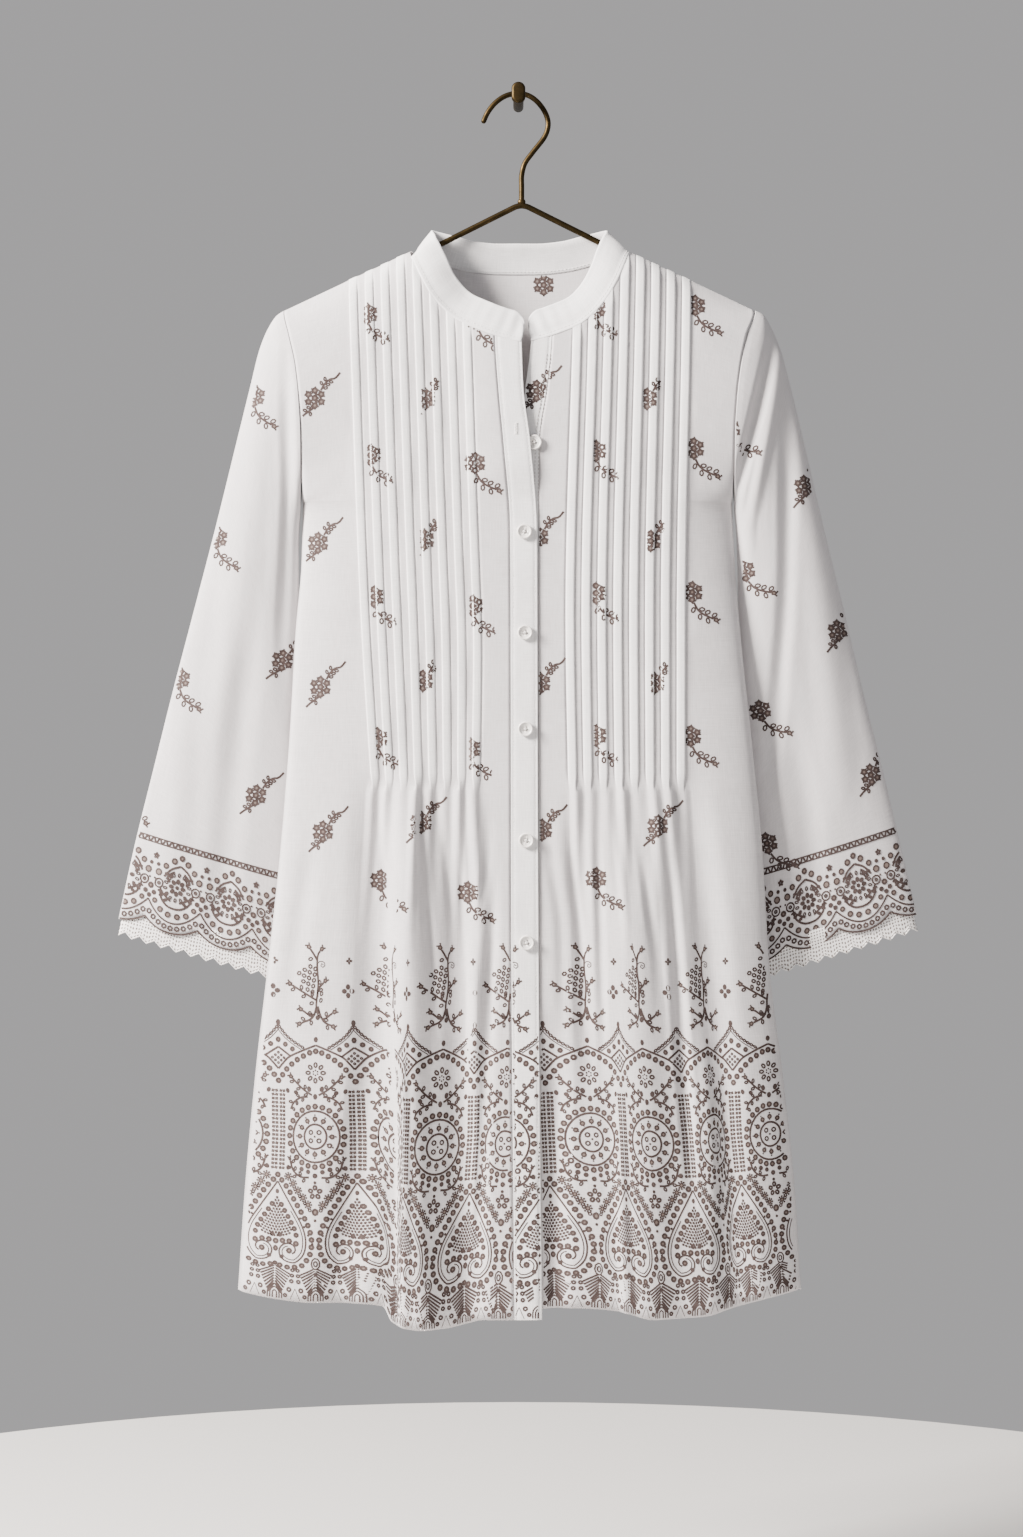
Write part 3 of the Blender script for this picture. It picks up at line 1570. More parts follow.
@dataclass
class Sleeve(Cloth):
    """A straight sleeve with a scalloped end, set into the armhole."""

    side: Side
    wall: float = 0.5
    rows: int = 104
    columns: int = 128
    first_cusp: float = 22.5
    scallop_depth: float = 9.5
    back_scallops: float = 3.75
    sway: float = 0.6
    sway_pitch: float = 31.0

    def __post_init__(self) -> None:
        """Reads the sleeve's table."""
        self.name = "sleeve_" + self.side.word
        self.table = SLEEVES[self.side]
        last = self.table[-1]
        self.front_scallops = math.hypot(last.inner_x - last.outer_x, last.inner_z - last.outer_z)
        self.front_scallops /= SCALLOP_PITCH

    def column(self, name: str, t: Array) -> Array:
        """One column of the table at shares of the way down, carried on past its end.

        Args:
            name: The column.
            t: Shares of the way down the sleeve.

        Returns:
            The values.
        """
        keys = np.linspace(0.0, 1.0, len(self.table))
        rows = polyline(*((key, getattr(row, name)) for key, row in zip(keys, self.table)))
        slope = (rows[-1].z - rows[-2].z) / (keys[-1] - keys[-2])
        return eased(rows, "x", "z", t) + slope * np.maximum(0.0, t - 1.0)

    def places(self, t: Array, turn: Array, inset: float = 0.0) -> Array:
        """The middle of the cloth at shares down the sleeve and turns round it.

        Args:
            t: 0 at the armhole and 1 at the end.
            turn: 0 at the outer edge, pi / 2 in front, pi at the inner edge.
            inset: How far inside the sleeve the points lie.

        Returns:
            The points.
        """
        t, turn = np.broadcast_arrays(np.asarray(t, float), np.asarray(turn, float))
        w = -np.cos(turn)
        ring = SleeveRow(*(self.column(key, t) for key in SleeveRow._fields))
        half = np.hypot(ring.inner_x - ring.outer_x, ring.inner_z - ring.outer_z) / 2
        reach = w * (1.0 - inset * 1.5 / half)
        x = (ring.outer_x + ring.inner_x) / 2 + reach * (ring.inner_x - ring.outer_x) / 2
        z = (ring.outer_z + ring.inner_z) / 2 + reach * (ring.inner_z - ring.outer_z) / 2
        level = ring.outer_y + (ring.inner_y - ring.outer_y) * (1 + w) / 2
        swell = np.where(np.sin(turn) >= 0, ring.front, ring.back) - inset
        y = level - swell * np.sin(turn)
        start = self.table[0]
        first_z = (start.outer_z + start.inner_z) / 2 + w * (start.inner_z - start.outer_z) / 2
        first_x = (start.outer_x + start.inner_x) / 2 + w * (start.inner_x - start.outer_x) / 2
        deep = (first_z - SHOULDER_TIP_Z) / (ARMPIT_Z - SHOULDER_TIP_Z)
        bow = side_x(self.side, first_z) - first_x
        x = x + bow * np.clip(1.0 - t * 3.5, 0.0, 1.0) ** 2
        gap = self.side.value * (1.5 * SEAM_GAP + UNDERARM_CLEARANCE * np.clip(deep, 0, 1) ** 5)
        return np.stack([x + gap * np.clip(1.0 - 14.0 * t, 0.0, 1.0), y, z], axis=-1)

    def folds(self, places: Array, t: Array, turn: Array) -> Array:
        """How far the hanging folds lift the cloth, fading at seam, edges and back.

        Args:
            places: Points of the cloth.
            t: Shares of the way down the sleeve.
            turn: Turns round the sleeve.

        Returns:
            The lifts.
        """
        rise = fold_rise(SLEEVE_FOLDS[self.side], places[..., 0], places[..., 2])
        front = np.clip(np.sin(turn), 0.0, 1.0) ** 0.7
        soft = self.sway * np.sin(places[..., 2] / self.sway_pitch + 2.0 * turn) * np.sin(turn) ** 2
        return (rise * front + soft) * ramp(t / 0.05)

    def phase(self, turn: Array) -> Array:
        """The count of scallops round the sleeve's end, whole at each cusp.

        Args:
            turn: Turns round the sleeve.

        Returns:
            The counts.
        """
        first = self.first_cusp / SCALLOP_PITCH
        share = (1.0 - np.cos(turn)) / 2
        behind = self.front_scallops - first + (1.0 - share) * self.back_scallops * self.fit()
        return np.where(turn <= math.pi, share * self.front_scallops - first, behind)

    def fit(self) -> float:
        """What makes the back's scallops meet the front's at the outer edge."""
        whole = round(self.front_scallops + self.back_scallops)
        return (whole - self.front_scallops) / self.back_scallops

    def run(self, turn: Array) -> Array:
        """The length of cloth near the end for one whole share down the sleeve.

        Args:
            turn: Turns round the sleeve.

        Returns:
            The lengths.
        """
        last, before = self.table[-1], self.table[-2]
        span = 1.0 / (len(self.table) - 1)
        outer = math.hypot(last.outer_x - before.outer_x, last.outer_z - before.outer_z) / span
        inner = math.hypot(last.inner_x - before.inner_x, last.inner_z - before.inner_z) / span
        return outer + (inner - outer) * (1.0 - np.cos(turn)) / 2

    def end_share(self, turn: Array) -> Array:
        """The share down the sleeve at which its scalloped end stands."""
        place = self.phase(turn)
        off = 2.0 * np.abs(place - np.floor(place) - 0.5)
        return 1.0 - self.scallop_depth * off**2.2 / self.run(turn)

    def surface(self, t: Array, turn: Array, lift: float = 0.0) -> Array:
        """The cloth with its folds, or what lies this far over it.

        Args:
            t: Shares of the way down the sleeve.
            turn: Turns round the sleeve.
            lift: How far over the cloth's middle.

        Returns:
            The points.
        """
        places = self.places(t, turn)
        step, twist = 0.004, 0.01
        down = self.places(t + step, turn) - self.places(t - step, turn)
        around = self.places(t, turn + twist) - self.places(t, turn - twist)
        normal = unit(np.cross(down, around)) * -self.side.value
        return places + normal * (self.folds(places, t, turn) + lift)[..., None]

    def build(self, dresser: Dresser, finish: Finish) -> None:
        """Makes the sleeve.

        Args:
            dresser: What places the pieces.
            finish: The cloth's material.
        """
        turn = np.linspace(0.0, 2 * math.pi, self.columns + 1)[None, :]
        share = np.linspace(0.0, 1.0, self.rows) ** 1.04
        late = np.clip((share[:, None] - 0.8) / 0.2, 0.0, 1.0)
        t = share[:, None] - late * (1.0 - self.end_share(turn))
        places = self.surface(t, np.broadcast_to(turn, t.shape))
        places[:, -1] = places[:, 0]
        self.middle_y = places[..., 1].mean() * MM
        self.sew(dresser, grid_mesh(places, None, wrapped=True), self.outward, finish)

    def outward(self, place: Vector) -> Vector:
        """The way out of the sleeve, in front or behind its middle."""
        return Vector((0, place.y - self.middle_y, 0))


@dataclass
class CuffLace(Cloth):
    """Net lace edging with a toothed end, sewn inside the sleeve's scallops."""

    sleeve: Sleeve
    wall: float = 0.7
    teeth: int = 23
    inset: float = 1.9
    underlap: float = 15.0
    valley: float = 9.4
    tooth: float = 4.6
    steps: int = 4
    cords: tuple[tuple[float, float], ...] = ((0.4, 0.55), (2.6, 0.35))  # up from the edge, radius
    cord_lift: float = 0.25
    edge_shares: tuple[float, ...] = (0.3, 0.55, 0.75, 0.9, 1.0)

    def __post_init__(self) -> None:
        """Names the edging after its side."""
        self.name = "cuff_lace_" + self.sleeve.side.word

    def ring(self, down: Any) -> Array:
        """Points round the edging, each this far past the sleeve's end.

        Args:
            down: How far down, once or for each point.

        Returns:
            The points.
        """
        count = 2 * self.teeth * self.steps
        fine = np.linspace(0.0, 2 * math.pi, 721)
        lengths = path_lengths(self.sleeve.places(np.ones(721), fine, self.inset))
        turn = np.interp(np.linspace(0.0, lengths[-1], count + 1), lengths, fine)
        here = self.sleeve.places(np.ones(count + 1), turn, self.inset)
        there = self.sleeve.places(np.full(count + 1, 0.96), turn, self.inset)
        return here + unit(here - there) * np.broadcast_to(down, turn.shape)[:, None]

    def edge(self) -> Array:
        """How far each point of the toothed edge hangs past the sleeve's end."""
        place = np.arange(2 * self.teeth * self.steps + 1) / (2 * self.steps)
        point = np.abs(2.0 * (place - np.floor(place)) - 1.0)
        return self.valley + self.tooth * point

    def build(self, dresser: Dresser, finishes: Finishes) -> None:
        """Makes the net and the cord that is worked along its teeth.

        Args:
            dresser: What places the pieces.
            finishes: The part's finishes.
        """
        edge = self.edge()
        falls = (-self.underlap, -7.0, 0.0, *(edge * share for share in self.edge_shares))
        places = np.array([self.ring(fall) for fall in falls])
        places[:, -1] = places[:, 0]
        bm = grid_mesh(places, None, wrapped=True)
        middle = float(places[..., 1].mean()) * MM
        facing(bm, lambda place: Vector((0, place.y - middle, 0)))
        side = self.sleeve.side.word
        self.piece = dresser.place("lace_" + side, bm, finishes.net, ["cuff_lace_" + side], "lace")
        self.area = cloth_area(self.piece)
        self.length = float(np.linalg.norm(np.diff(places[2], axis=0), axis=1).sum())
        thicken(self.piece, self.wall)
        parts = []
        for drop, radius in self.cords:
            path = self.ring(edge - drop)[:-1]
            path[:, 1] += np.sign(path[:, 1] - middle / MM) * self.cord_lift
            parts.append(tube(path, radius, 6, closed=True))
        dresser.place("lace_cord_" + side, joined(parts), finishes.thread, (), "lace")


# Buttons, hanger and peg


def new_verts(made: dict[str, Any]) -> list[bmesh.types.BMVert]:
    """The vertices that an operator made."""
    return [item for item in made["geom"] if isinstance(item, bmesh.types.BMVert)]


def stand(bm: Mesh, place: Sequence[float], roll: float = 0.0) -> None:
    """Turns a mesh made about z to face the viewer, sets it at a place, and makes it metres."""
    turned = UPRIGHT @ Matrix.Rotation(roll, 4, "Z")
    bm.transform(Matrix.Scale(MM, 4) @ Matrix.Translation(place) @ turned)


@dataclass
class Buttons:
    """Four-hole shell buttons with a raised rim, sewn on with crossed thread."""

    radius: float = 6.5
    high: float = 2.6
    rim: float = 1.5
    floor: float = 1.612
    standoff: float = 0.9
    hole: float = 0.85
    hole_out: float = 1.45
    thread: float = 0.27
    arc: float = 0.75
    strand: float = 0.28
    crossing: float = 0.25
    shank: float = 1.3
    shank_bite: float = 0.4
    sides: int = 40

    def centre(self, row: ButtonRow) -> Vector:
        """The middle of a button's back, in millimetres."""
        side = Side.RIGHT if row.fastened else Side.LEFT
        return Vector((row.x, float(front_y(side, row.x, row.z)) - 0.6 - self.standoff, row.z))

    def profile(self, inner: float) -> list[tuple[float, float]]:
        """The rim's and the back's section, out and up, from the dished face inwards.

        Args:
            inner: The radius at which the rim starts.

        Returns:
            The section's points.
        """
        radius, high, rim = self.radius, self.high, self.rim
        return [
            (inner, self.floor), (inner + 0.35 * rim, 0.72 * high), (radius - rim, 0.93 * high),
            (radius - 0.62 * rim, high), (radius - 0.3 * rim, 0.97 * high),
            (radius - 0.06, 0.78 * high), (radius, 0.55 * high), (radius - 0.12, 0.36 * high),
            (0.86 * radius, 0.1 * high), (0.78 * radius, 0.0), (0.0, 0.0),
        ]

    def blank(self) -> Mesh:
        """One button about the z axis with its back at z = 0, its holes cut through.

        Returns:
            The mesh, in millimetres.
        """
        bm = bmesh.new()
        inner = self.radius - 1.5 * self.rim
        bmesh.ops.create_circle(bm, segments=self.sides, radius=inner)
        for corner in range(4):
            turn = math.pi / 4 + corner * math.pi / 2
            out = Matrix.Translation((self.hole_out * math.cos(turn), self.hole_out * math.sin(turn), 0))
            bmesh.ops.create_circle(bm, segments=10, radius=self.hole, matrix=out)
        bmesh.ops.triangle_fill(bm, edges=bm.edges[:], use_beauty=True, normal=(0, 0, 1))
        bmesh.ops.translate(bm, verts=bm.verts[:], vec=(0, 0, self.floor))
        holes = [edge for edge in bm.edges
                 if edge.is_boundary and min(v.co.xy.length for v in edge.verts) <= inner - 0.01]
        deep = new_verts(bmesh.ops.extrude_edge_only(bm, edges=holes))
        bmesh.ops.translate(bm, verts=deep, vec=(0, 0, -self.floor))
        line = [bm.verts.new((out, 0.0, up)) for out, up in self.profile(inner)]
        joins = [bm.edges.new(pair) for pair in zip(line, line[1:])]
        bmesh.ops.spin(bm, geom=[*line, *joins], axis=(0, 0, 1), cent=(0, 0, 0), steps=self.sides,
                       angle=2 * math.pi, use_merge=True)
        bmesh.ops.remove_doubles(bm, verts=bm.verts[:], dist=1e-3)
        bmesh.ops.recalc_face_normals(bm, faces=bm.faces[:])
        return bm

    def stitches(self) -> Mesh:
        """The crossed thread in the holes, and the shank under the button.

        Returns:
            The mesh, in millimetres.
        """
        out = self.hole_out * 0.72
        across = np.linspace(-1.0, 1.0, 13)
        sagging = self.arc * np.abs(across) ** 3 * 1.9
        parts = []
        for strand in (-self.strand, self.strand):
            for way in (1, -1):
                height = self.floor + self.arc - sagging + (self.crossing if way > 0 else 0.0)
                x, y = across * out + strand * way, across * out * way - strand
                parts.append(tube(np.stack([x, y, height], 1), self.thread, 6))
        ends = (-self.standoff - self.shank_bite, -self.shank_bite, self.shank_bite)
        shank = tube([(0.0, 0.0, high) for high in ends], self.shank, 10)
        bm = joined([*parts, shank])
        bm.transform(Matrix.Scale(1 / MM, 4))
        return bm

    def build(self, dresser: Dresser, finishes: Finishes) -> None:
        """Makes every button and its thread.

        Args:
            dresser: What places the pieces.
            finishes: The part's finishes.
        """
        for number, row in enumerate(BUTTONS, start=1):
            disc, thread = self.blank(), self.stitches()
            for bm in (disc, thread):
                stand(bm, self.centre(row), 0.35 * math.sin(2.3 * number))
            dresser.place(f"shell_button_{number}", disc, finishes.shell, [f"button_{number}"],
                          "button_shell")
            dresser.place(f"button_thread_{number}", thread, finishes.thread, (), "button_shell")


@dataclass
class Buttonhole:
    """A worked buttonhole: close stitches round a slit, with a bar at each end."""

    x: float = -1.9
    z: float = -287.0
    half_length: float = 4.3
    half_width: float = 0.75
    half_bar: float = 1.3
    ring_lift: float = 0.85
    ring_thread: float = 0.42
    stitches: int = 14
    bar_lift: float = 0.95
    bar_thread: float = 0.4

    def build(self, dresser: Dresser, finishes: Finishes) -> None:
        """Makes the ring of stitches on the top placket.

        Args:
            dresser: What places the pieces.
            finishes: The part's finishes.
        """
        turn = np.linspace(0.0, 2 * math.pi, 57)[:-1]
        cos, sin = np.cos(turn), np.sin(turn)
        x = self.x + self.half_width * np.sign(cos) * np.abs(cos) ** 0.7
        z = self.z + self.half_length * np.sign(sin) * np.abs(sin) ** 0.8
        y = front_y(Side.RIGHT, x, z) - self.ring_lift - 0.08 * np.cos(self.stitches * turn)
        parts = [tube(np.stack([x, y, z], axis=1), self.ring_thread, 6, closed=True)]
        x = self.x + np.linspace(-self.half_bar, self.half_bar, 5)
        for end in (-1, 1):
            z = np.full(5, self.z + end * (self.half_length + 0.1))
            y = front_y(Side.RIGHT, x, z) - self.bar_lift
            parts.append(tube(np.stack([x, y, z], axis=1), self.bar_thread, 6))
        dresser.place("buttonhole_thread", joined(parts), finishes.thread, (), "doubled_voile")


@dataclass
class TopStitching:
    """Runs of straight stitches on the plackets, near their edges, and on the band."""

    length: float = 2.3
    pitch: float = 3.3
    thread: float = 0.24
    step: float = 1.5
    top_z: float = -222.0
    top_end_z: float = -1035.0
    under_end_z: float = -350.0
    band_rows: tuple[tuple[float, float], ...] = ((2.6, 0.85), (2.2, -0.85))

    def run(self, path: Array) -> list[Mesh]:
        """The stitches along a path on the cloth's face.

        Args:
            path: The path.

        Returns:
            The stitches' meshes.
        """
        starts = np.arange(0.0, path_lengths(path)[-1] - self.length, self.pitch)
        share = np.array([0.0, 0.5, 1.0]) * self.length
        radius = self.thread * np.array([0.6, 1.0, 0.6])
        return [tube(along(path, start + share), radius, 4) for start in starts]

    def on_placket(self, placket: Placket) -> list[Mesh]:
        """Two rows down a placket, as far as it shows: both at its seam on the lower one.

        Args:
            placket: The placket.

        Returns:
            The stitches' meshes.
        """
        z = np.arange(self.top_z, placket.side.pick(self.top_end_z, self.under_end_z), -self.step)
        width = placket.width(z)
        far = width - placket.stitch_in
        made = []
        for off in placket.side.pick((placket.stitch_in, far), (width - 0.4, far - 1.2)):
            path = placket.surface(off / width, z)
            path[:, 1] -= placket.wall / 2 + 0.05
            made += self.run(path)
        return made

    def on_band(self, band: CollarBand) -> list[Mesh]:
        """A row on each face of the band, just over its seam.

        Args:
            band: The band.

        Returns:
            The stitches' meshes.
        """
        frame = band.frame()
        made = []
        for up, proud in self.band_rows:
            path = frame.line + frame.up * (BAND_SEAM_GAP + up) + frame.out * proud
            made += self.run(path[4:-4])
        return made

    def build(self, dresser: Dresser, finishes: Finishes, plackets: Iterable[Placket],
              band: CollarBand) -> dict[str, list[Piece]]:
        """Makes every row.

        Args:
            dresser: What places them.
            finishes: The finishes.
            plackets: The plackets they are sewn through.
            band: The band they are sewn through.

        Returns:
            The rows, by the name of their cloth.
        """
        runs = {placket.name: self.on_placket(placket) for placket in plackets}
        runs[band.name] = self.on_band(band)
        made = {}
        for name, parts in runs.items():
            finish = finishes.sunk if "under" in name else finishes.thread
            piece = dresser.place("stitches_" + name, joined(parts), finish, (), "doubled_voile")
            made[name] = [piece]
        return made


@dataclass
class Hanger:
    """A hanger bent from antiqued brass wire: a round hook welded to two arms."""

    hook_wire: float = 2.3
    arm_wire: float = 2.5
    slope: float = 0.5
    apex_x: float = 2.8
    apex_z: float = -88.8
    reach: float = 190.0
    bend: float = 7.0
    sides: int = 20
    bead: tuple[float, float, float] = (3.5, 2.8, 3.1)

    def rod(self, path: Array, wire: float, last: bool) -> Mesh:
        """The wire along a path, domed at its start and, if wanted, at its end.

        Args:
            path: The wire's middle.
            wire: Its radius.
            last: Whether its last end is domed too.

        Returns:
            The mesh.
        """
        lengths = path_lengths(path)
        radius = wire * np.maximum(0.12, quarter(lengths / wire))
        if last:
            radius *= np.maximum(0.12, quarter((lengths[-1] - lengths) / wire))
        return tube(path, radius, self.sides)

    def hook(self) -> Mesh:
        """The hook, with close points at its domed end."""
        path = smooth_route([(point.x, RIDGE_Y, point.z) for point in HOOK])
        dome = [path[0] + (path[1] - path[0]) * t for t in (0.0, 0.06, 0.18, 0.4, 0.7)]
        return self.rod(np.concatenate([dome, path[1:]]), self.hook_wire, False)

    def on_arm(self, x: float) -> Array:
        """The point of the sharp-cornered arms at a place across."""
        return np.array((x, RIDGE_Y, self.apex_z - self.slope * abs(x - self.apex_x)))

    def arms(self) -> Mesh:
        """Both arms as one wire, bent where the hook stands.

        Returns:
            The mesh.
        """
        start, apex, end = (self.on_arm(self.apex_x + off) for off in (-self.bend, 0.0, self.bend))
        bend = [(1 - t) ** 2 * start + 2 * t * (1 - t) * apex + t**2 * end
                for t in np.linspace(0.0, 1.0, 15)]
        out = [self.on_arm(x) for x in np.linspace(-self.reach, self.apex_x - self.bend - 3, 30)]
        back = [self.on_arm(x) for x in np.linspace(self.apex_x + self.bend + 3, self.reach, 30)]
        return self.rod(np.array([*out, *bend, *back]), self.arm_wire, True)

    def weld(self) -> Mesh:
        """The bead of metal that joins the hook to the arms.

        Returns:
            The mesh.
        """
        bm = bmesh.new()
        bmesh.ops.create_icosphere(bm, subdivisions=3, radius=1.0)
        place = Matrix.Translation((self.apex_x, RIDGE_Y, self.apex_z + 1.6))
        bm.transform(Matrix.Scale(MM, 4) @ place @ Matrix.Diagonal((*self.bead, 1.0)))
        return bm

    def build(self, dresser: Dresser, finishes: Finishes) -> None:
        """Makes the hook, the arms and the weld."""
        dresser.place("wire_hook", self.hook(), finishes.bronze, ["hanger_hook"], "bronze")
        dresser.place("wire_arms", self.arms(), finishes.bronze, ["hanger_arms"], "bronze")
        dresser.place("wire_weld", self.weld(), finishes.bronze, (), "bronze")


@dataclass
class WallPeg:
    """A round stem with an upright rounded tab on its end."""

    stem_radius: float = 4.5
    length: float = 37.0
    width: float = 12.0
    depth: float = 8.0
    low: float = -5.5
    high: float = 13.0
    stem_round: float = 0.5
    head_round: float = 2.4

    def rounded(self, bm: Mesh, offset: float, segments: int) -> Mesh:
        """Rounds a mesh's sharp edges.

        Args:
            bm: The mesh, in millimetres.
            offset: How far the rounding reaches.
            segments: How many steps it has.

        Returns:
            The same mesh.
        """
        rims = [edge for edge in bm.edges if edge.calc_face_angle(0.0) > 1.0]
        bmesh.ops.bevel(bm, geom=rims, offset=offset, segments=segments, profile=0.5,
                        affect="EDGES", material=-1)
        return bm

    def stem(self) -> Mesh:
        """The stem, from the wall plane outwards.

        Returns:
            The mesh.
        """
        bm = bmesh.new()
        bmesh.ops.create_cone(bm, cap_ends=True, segments=40, radius1=self.stem_radius,
                              radius2=self.stem_radius, depth=self.length)
        stand(self.rounded(bm, self.stem_round, 3), (0, -self.length / 2, 0))
        return bm

    def head(self) -> Mesh:
        """The tab: a long round-ended plate with soft edges.

        Returns:
            The mesh.
        """
        bm = bmesh.new()
        half = self.width / 2
        bmesh.ops.create_circle(bm, cap_ends=True, segments=48, radius=half)
        upper = [vert for vert in bm.verts if vert.co.y > 0.01]
        bmesh.ops.translate(bm, verts=upper, vec=(0, self.high - self.low - self.width, 0))
        made = bmesh.ops.extrude_face_region(bm, geom=bm.faces[:], use_keep_orig=True)
        bmesh.ops.translate(bm, verts=new_verts(made), vec=(0, 0, self.depth))
        bmesh.ops.recalc_face_normals(bm, faces=bm.faces[:])
        stand(self.rounded(bm, self.head_round, 5), (0, -self.length - SEAM_GAP, self.low + half))
        return bm

    def build(self, dresser: Dresser, finishes: Finishes) -> None:
        """Makes the stem and the tab."""
        dresser.place("peg_stem", self.stem(), finishes.bronze, ["wall_peg_stem"], "bronze")
        dresser.place("peg_head", self.head(), finishes.bronze, ["wall_peg_head"], "bronze")


# Block print


INK_LIFT = 0.13  # mm between the cloth and the print's thin sheet
CUFF_LIFT = 0.325  # mm: the same at the cuffs, whose print is laid without a cast
WASH_UNDER = 0.06  # mm between the outlines and the wash below them
WASH_REACH = 0.15  # mm that the wash goes under its outline
TORN_STEP = 0.7  # mm of depth that a face may span, however narrow it is
REPEAT = 70.0
JUNCTION = REPEAT / 2
CUSP = SCALLOP_PITCH / 2
BEAD = 2.85
BOLD = 1.9  # mm: the width of most lines
UP = math.pi / 2

Route = Sequence[Sequence[float]] | Array  # points across and up
Block = tuple[bpy.types.Mesh, bpy.types.Mesh]
Place = Callable[[Array, Array], Array]


class Stamp:
    """A printing block: flat shapes in millimetres, a across and h up.

    Shapes are cut in two parts, the dark outlines and the pale wash inside them. While
    a half is cut, a is counted from an axis, and the other half is its mirror image.
    """

    def __init__(self) -> None:
        """Starts with an empty block."""
        self.ink, self.wash = bmesh.new(), bmesh.new()
        self.axis, self.sign = 0.0, 1

    def halves(self, shape: Callable[["Stamp"], None]) -> None:
        """Cuts a half and its mirror image about the middle."""
        for self.sign in (-1, 1):
            shape(self)

    def across(self, a: Any) -> Any:
        """Where a lies on the block."""
        return self.axis + self.sign * a

    def ring(self, a: float, h: float, size: float = BEAD, long: float = 1.0, turn: float = 0.0,
             sides: int = 8, line: float = 1.85, washed: bool = False) -> None:
        """Cuts a ring or, drawn out, a hollow leaf.

        Args:
            a: Its middle across.
            h: Its middle up.
            size: Its radius.
            long: How much longer it is along its turn.
            turn: The way that it points.
            sides: How many sides it has.
            line: The width of its outline.
            washed: Whether its inside has a pale wash.
        """
        turn = turn if self.sign > 0 else math.pi - turn
        place = Matrix.Translation((self.across(a), h, 0)) @ Matrix.Rotation(turn, 4, "Z")
        place = place @ Matrix.Diagonal((long, 1.0, 1.0, 1.0))
        shape = {"cap_ends": True, "segments": sides, "matrix": place}
        made = bmesh.ops.create_circle(self.ink, radius=size, **shape)
        face = made["verts"][0].link_faces[0]
        if line < 0.8 * size:
            bmesh.ops.inset_region(self.ink, faces=[face], thickness=line, use_boundary=True,
                                   use_even_offset=True)
            bmesh.ops.delete(self.ink, geom=[face], context="FACES_ONLY")
            if washed:
                bmesh.ops.create_circle(self.wash, radius=size - line + WASH_REACH, **shape)

    def rings(self, rows: Iterable[Sequence[float]], **shape: Any) -> None:
        """Cuts rings, each a row of what ring takes, with the rest in common."""
        for row in rows:
            self.ring(*row, **shape)

    def dot(self, a: float, h: float, size: float, sides: int = 5) -> None:
        """Cuts a solid dot."""
        self.ring(a, h, size, sides=sides, line=size)

    def line(self, route: Route, width: float = BOLD, smooth: bool = True,
             step: float = 2.4) -> None:
        """Cuts a line along a route.

        Args:
            route: Its points.
            width: Its width.
            smooth: Whether it bends smoothly through its points.
            step: How far apart its cuts are.
        """
        path = np.array(route, float)
        path[:, 0] = self.across(path[:, 0])
        if smooth and len(path) > 2:
            path = smooth_route(path)
        lengths = path_lengths(path)
        even = np.linspace(0.0, lengths[-1], max(2, int(lengths[-1] / step) + 1))
        if not smooth:
            even = np.unique(np.r_[even, lengths])
        path = along(path, even)
        way = unit(np.gradient(path, axis=0))
        off = np.stack([-way[:, 1], way[:, 0]], axis=1) * width / 2
        edges = np.stack([path - off, path + off])
        made = bmesh.ops.create_grid(self.ink, x_segments=len(path) - 1, y_segments=1, size=0.5)
        for vert in made["verts"]:
            column, row = round((vert.co.x + 0.5) * (len(path) - 1)), round(vert.co.y + 0.5)
            vert.co = (*edges[row, column], 0.0)

    def straight(self, route: Route, width: float = BOLD, step: float = 2.4) -> None:
        """Cuts a line with sharp corners."""
        self.line(route, width, False, step)

    def chain(self, route: Route, count: int, size: float = BEAD, **shape: Any) -> None:
        """Cuts rings at even distances along a smooth route, each turned along it.

        Args:
            route: Its points.
            count: How many rings there are.
            size: Their radius.
            shape: What else a ring takes.
        """
        path = smooth_route(route)
        for place in np.linspace(0.0, path_lengths(path)[-1], count):
            behind, here, ahead = along(path, np.array([place - 0.5, place, place + 0.5]))
            self.ring(*here, size, turn=math.atan2(*(ahead - behind)[::-1]), **shape)

    def rosette(self, a: float, h: float, count: int, out: float, size: float, narrow: float = 1.0,
                start: float = UP, turned: bool = True, **shape: Any) -> None:
        """Cuts petals evenly round a middle.

        Args:
            a: The middle across.
            h: The middle up.
            count: How many petals there are.
            out: How far out they lie.
            size: Their radius.
            narrow: How much narrower the rosette is across.
            start: The way to the first.
            turned: Whether each points outwards.
            shape: What else a ring takes.
        """
        for k in range(count):
            turn = start + 2 * math.pi * k / count
            if turned:
                shape["turn"] = turn
            self.ring(a + narrow * out * math.cos(turn), h + out * math.sin(turn), size, **shape)

    def branch(self, route: Route, leaves: int, size: float = 1.45, bud: float = 0.0) -> None:
        """Cuts a stem with leaves by turns on its two sides, and a bud on its end.

        Args:
            route: The stem's points.
            leaves: How many leaves it has.
            size: Their radius.
            bud: The bud's radius, or 0 for none.
        """
        self.line(route)
        path = smooth_route(route)
        length = path_lengths(path)[-1]
        for k in range(leaves):
            place = length * (k + 0.75) / (leaves + 0.6)
            here, ahead = along(path, np.array([place, place + 0.5]))
            turn = math.atan2(*(ahead - here)[::-1]) + (0.9 if k % 2 else -0.9)
            tip = here + (1.6 * size + 0.6) * np.array((math.cos(turn), math.sin(turn)))
            self.ring(*tip, size, 1.35, turn, sides=7, line=1.35)
        if bud:
            end, before = along(path, np.array([length, length - 1.0]))
            turn = math.atan2(*(end - before)[::-1])
            a, h = end + bud * np.array((math.cos(turn), math.sin(turn)))
            self.ring(a, h, bud, 1.15, turn, sides=5, line=1.4, washed=True)
            for tip in (turn - 0.6, turn + 0.6):
                self.dot(a + 1.25 * bud * math.cos(tip), h + 1.25 * bud * math.sin(tip), 1.1, 4)

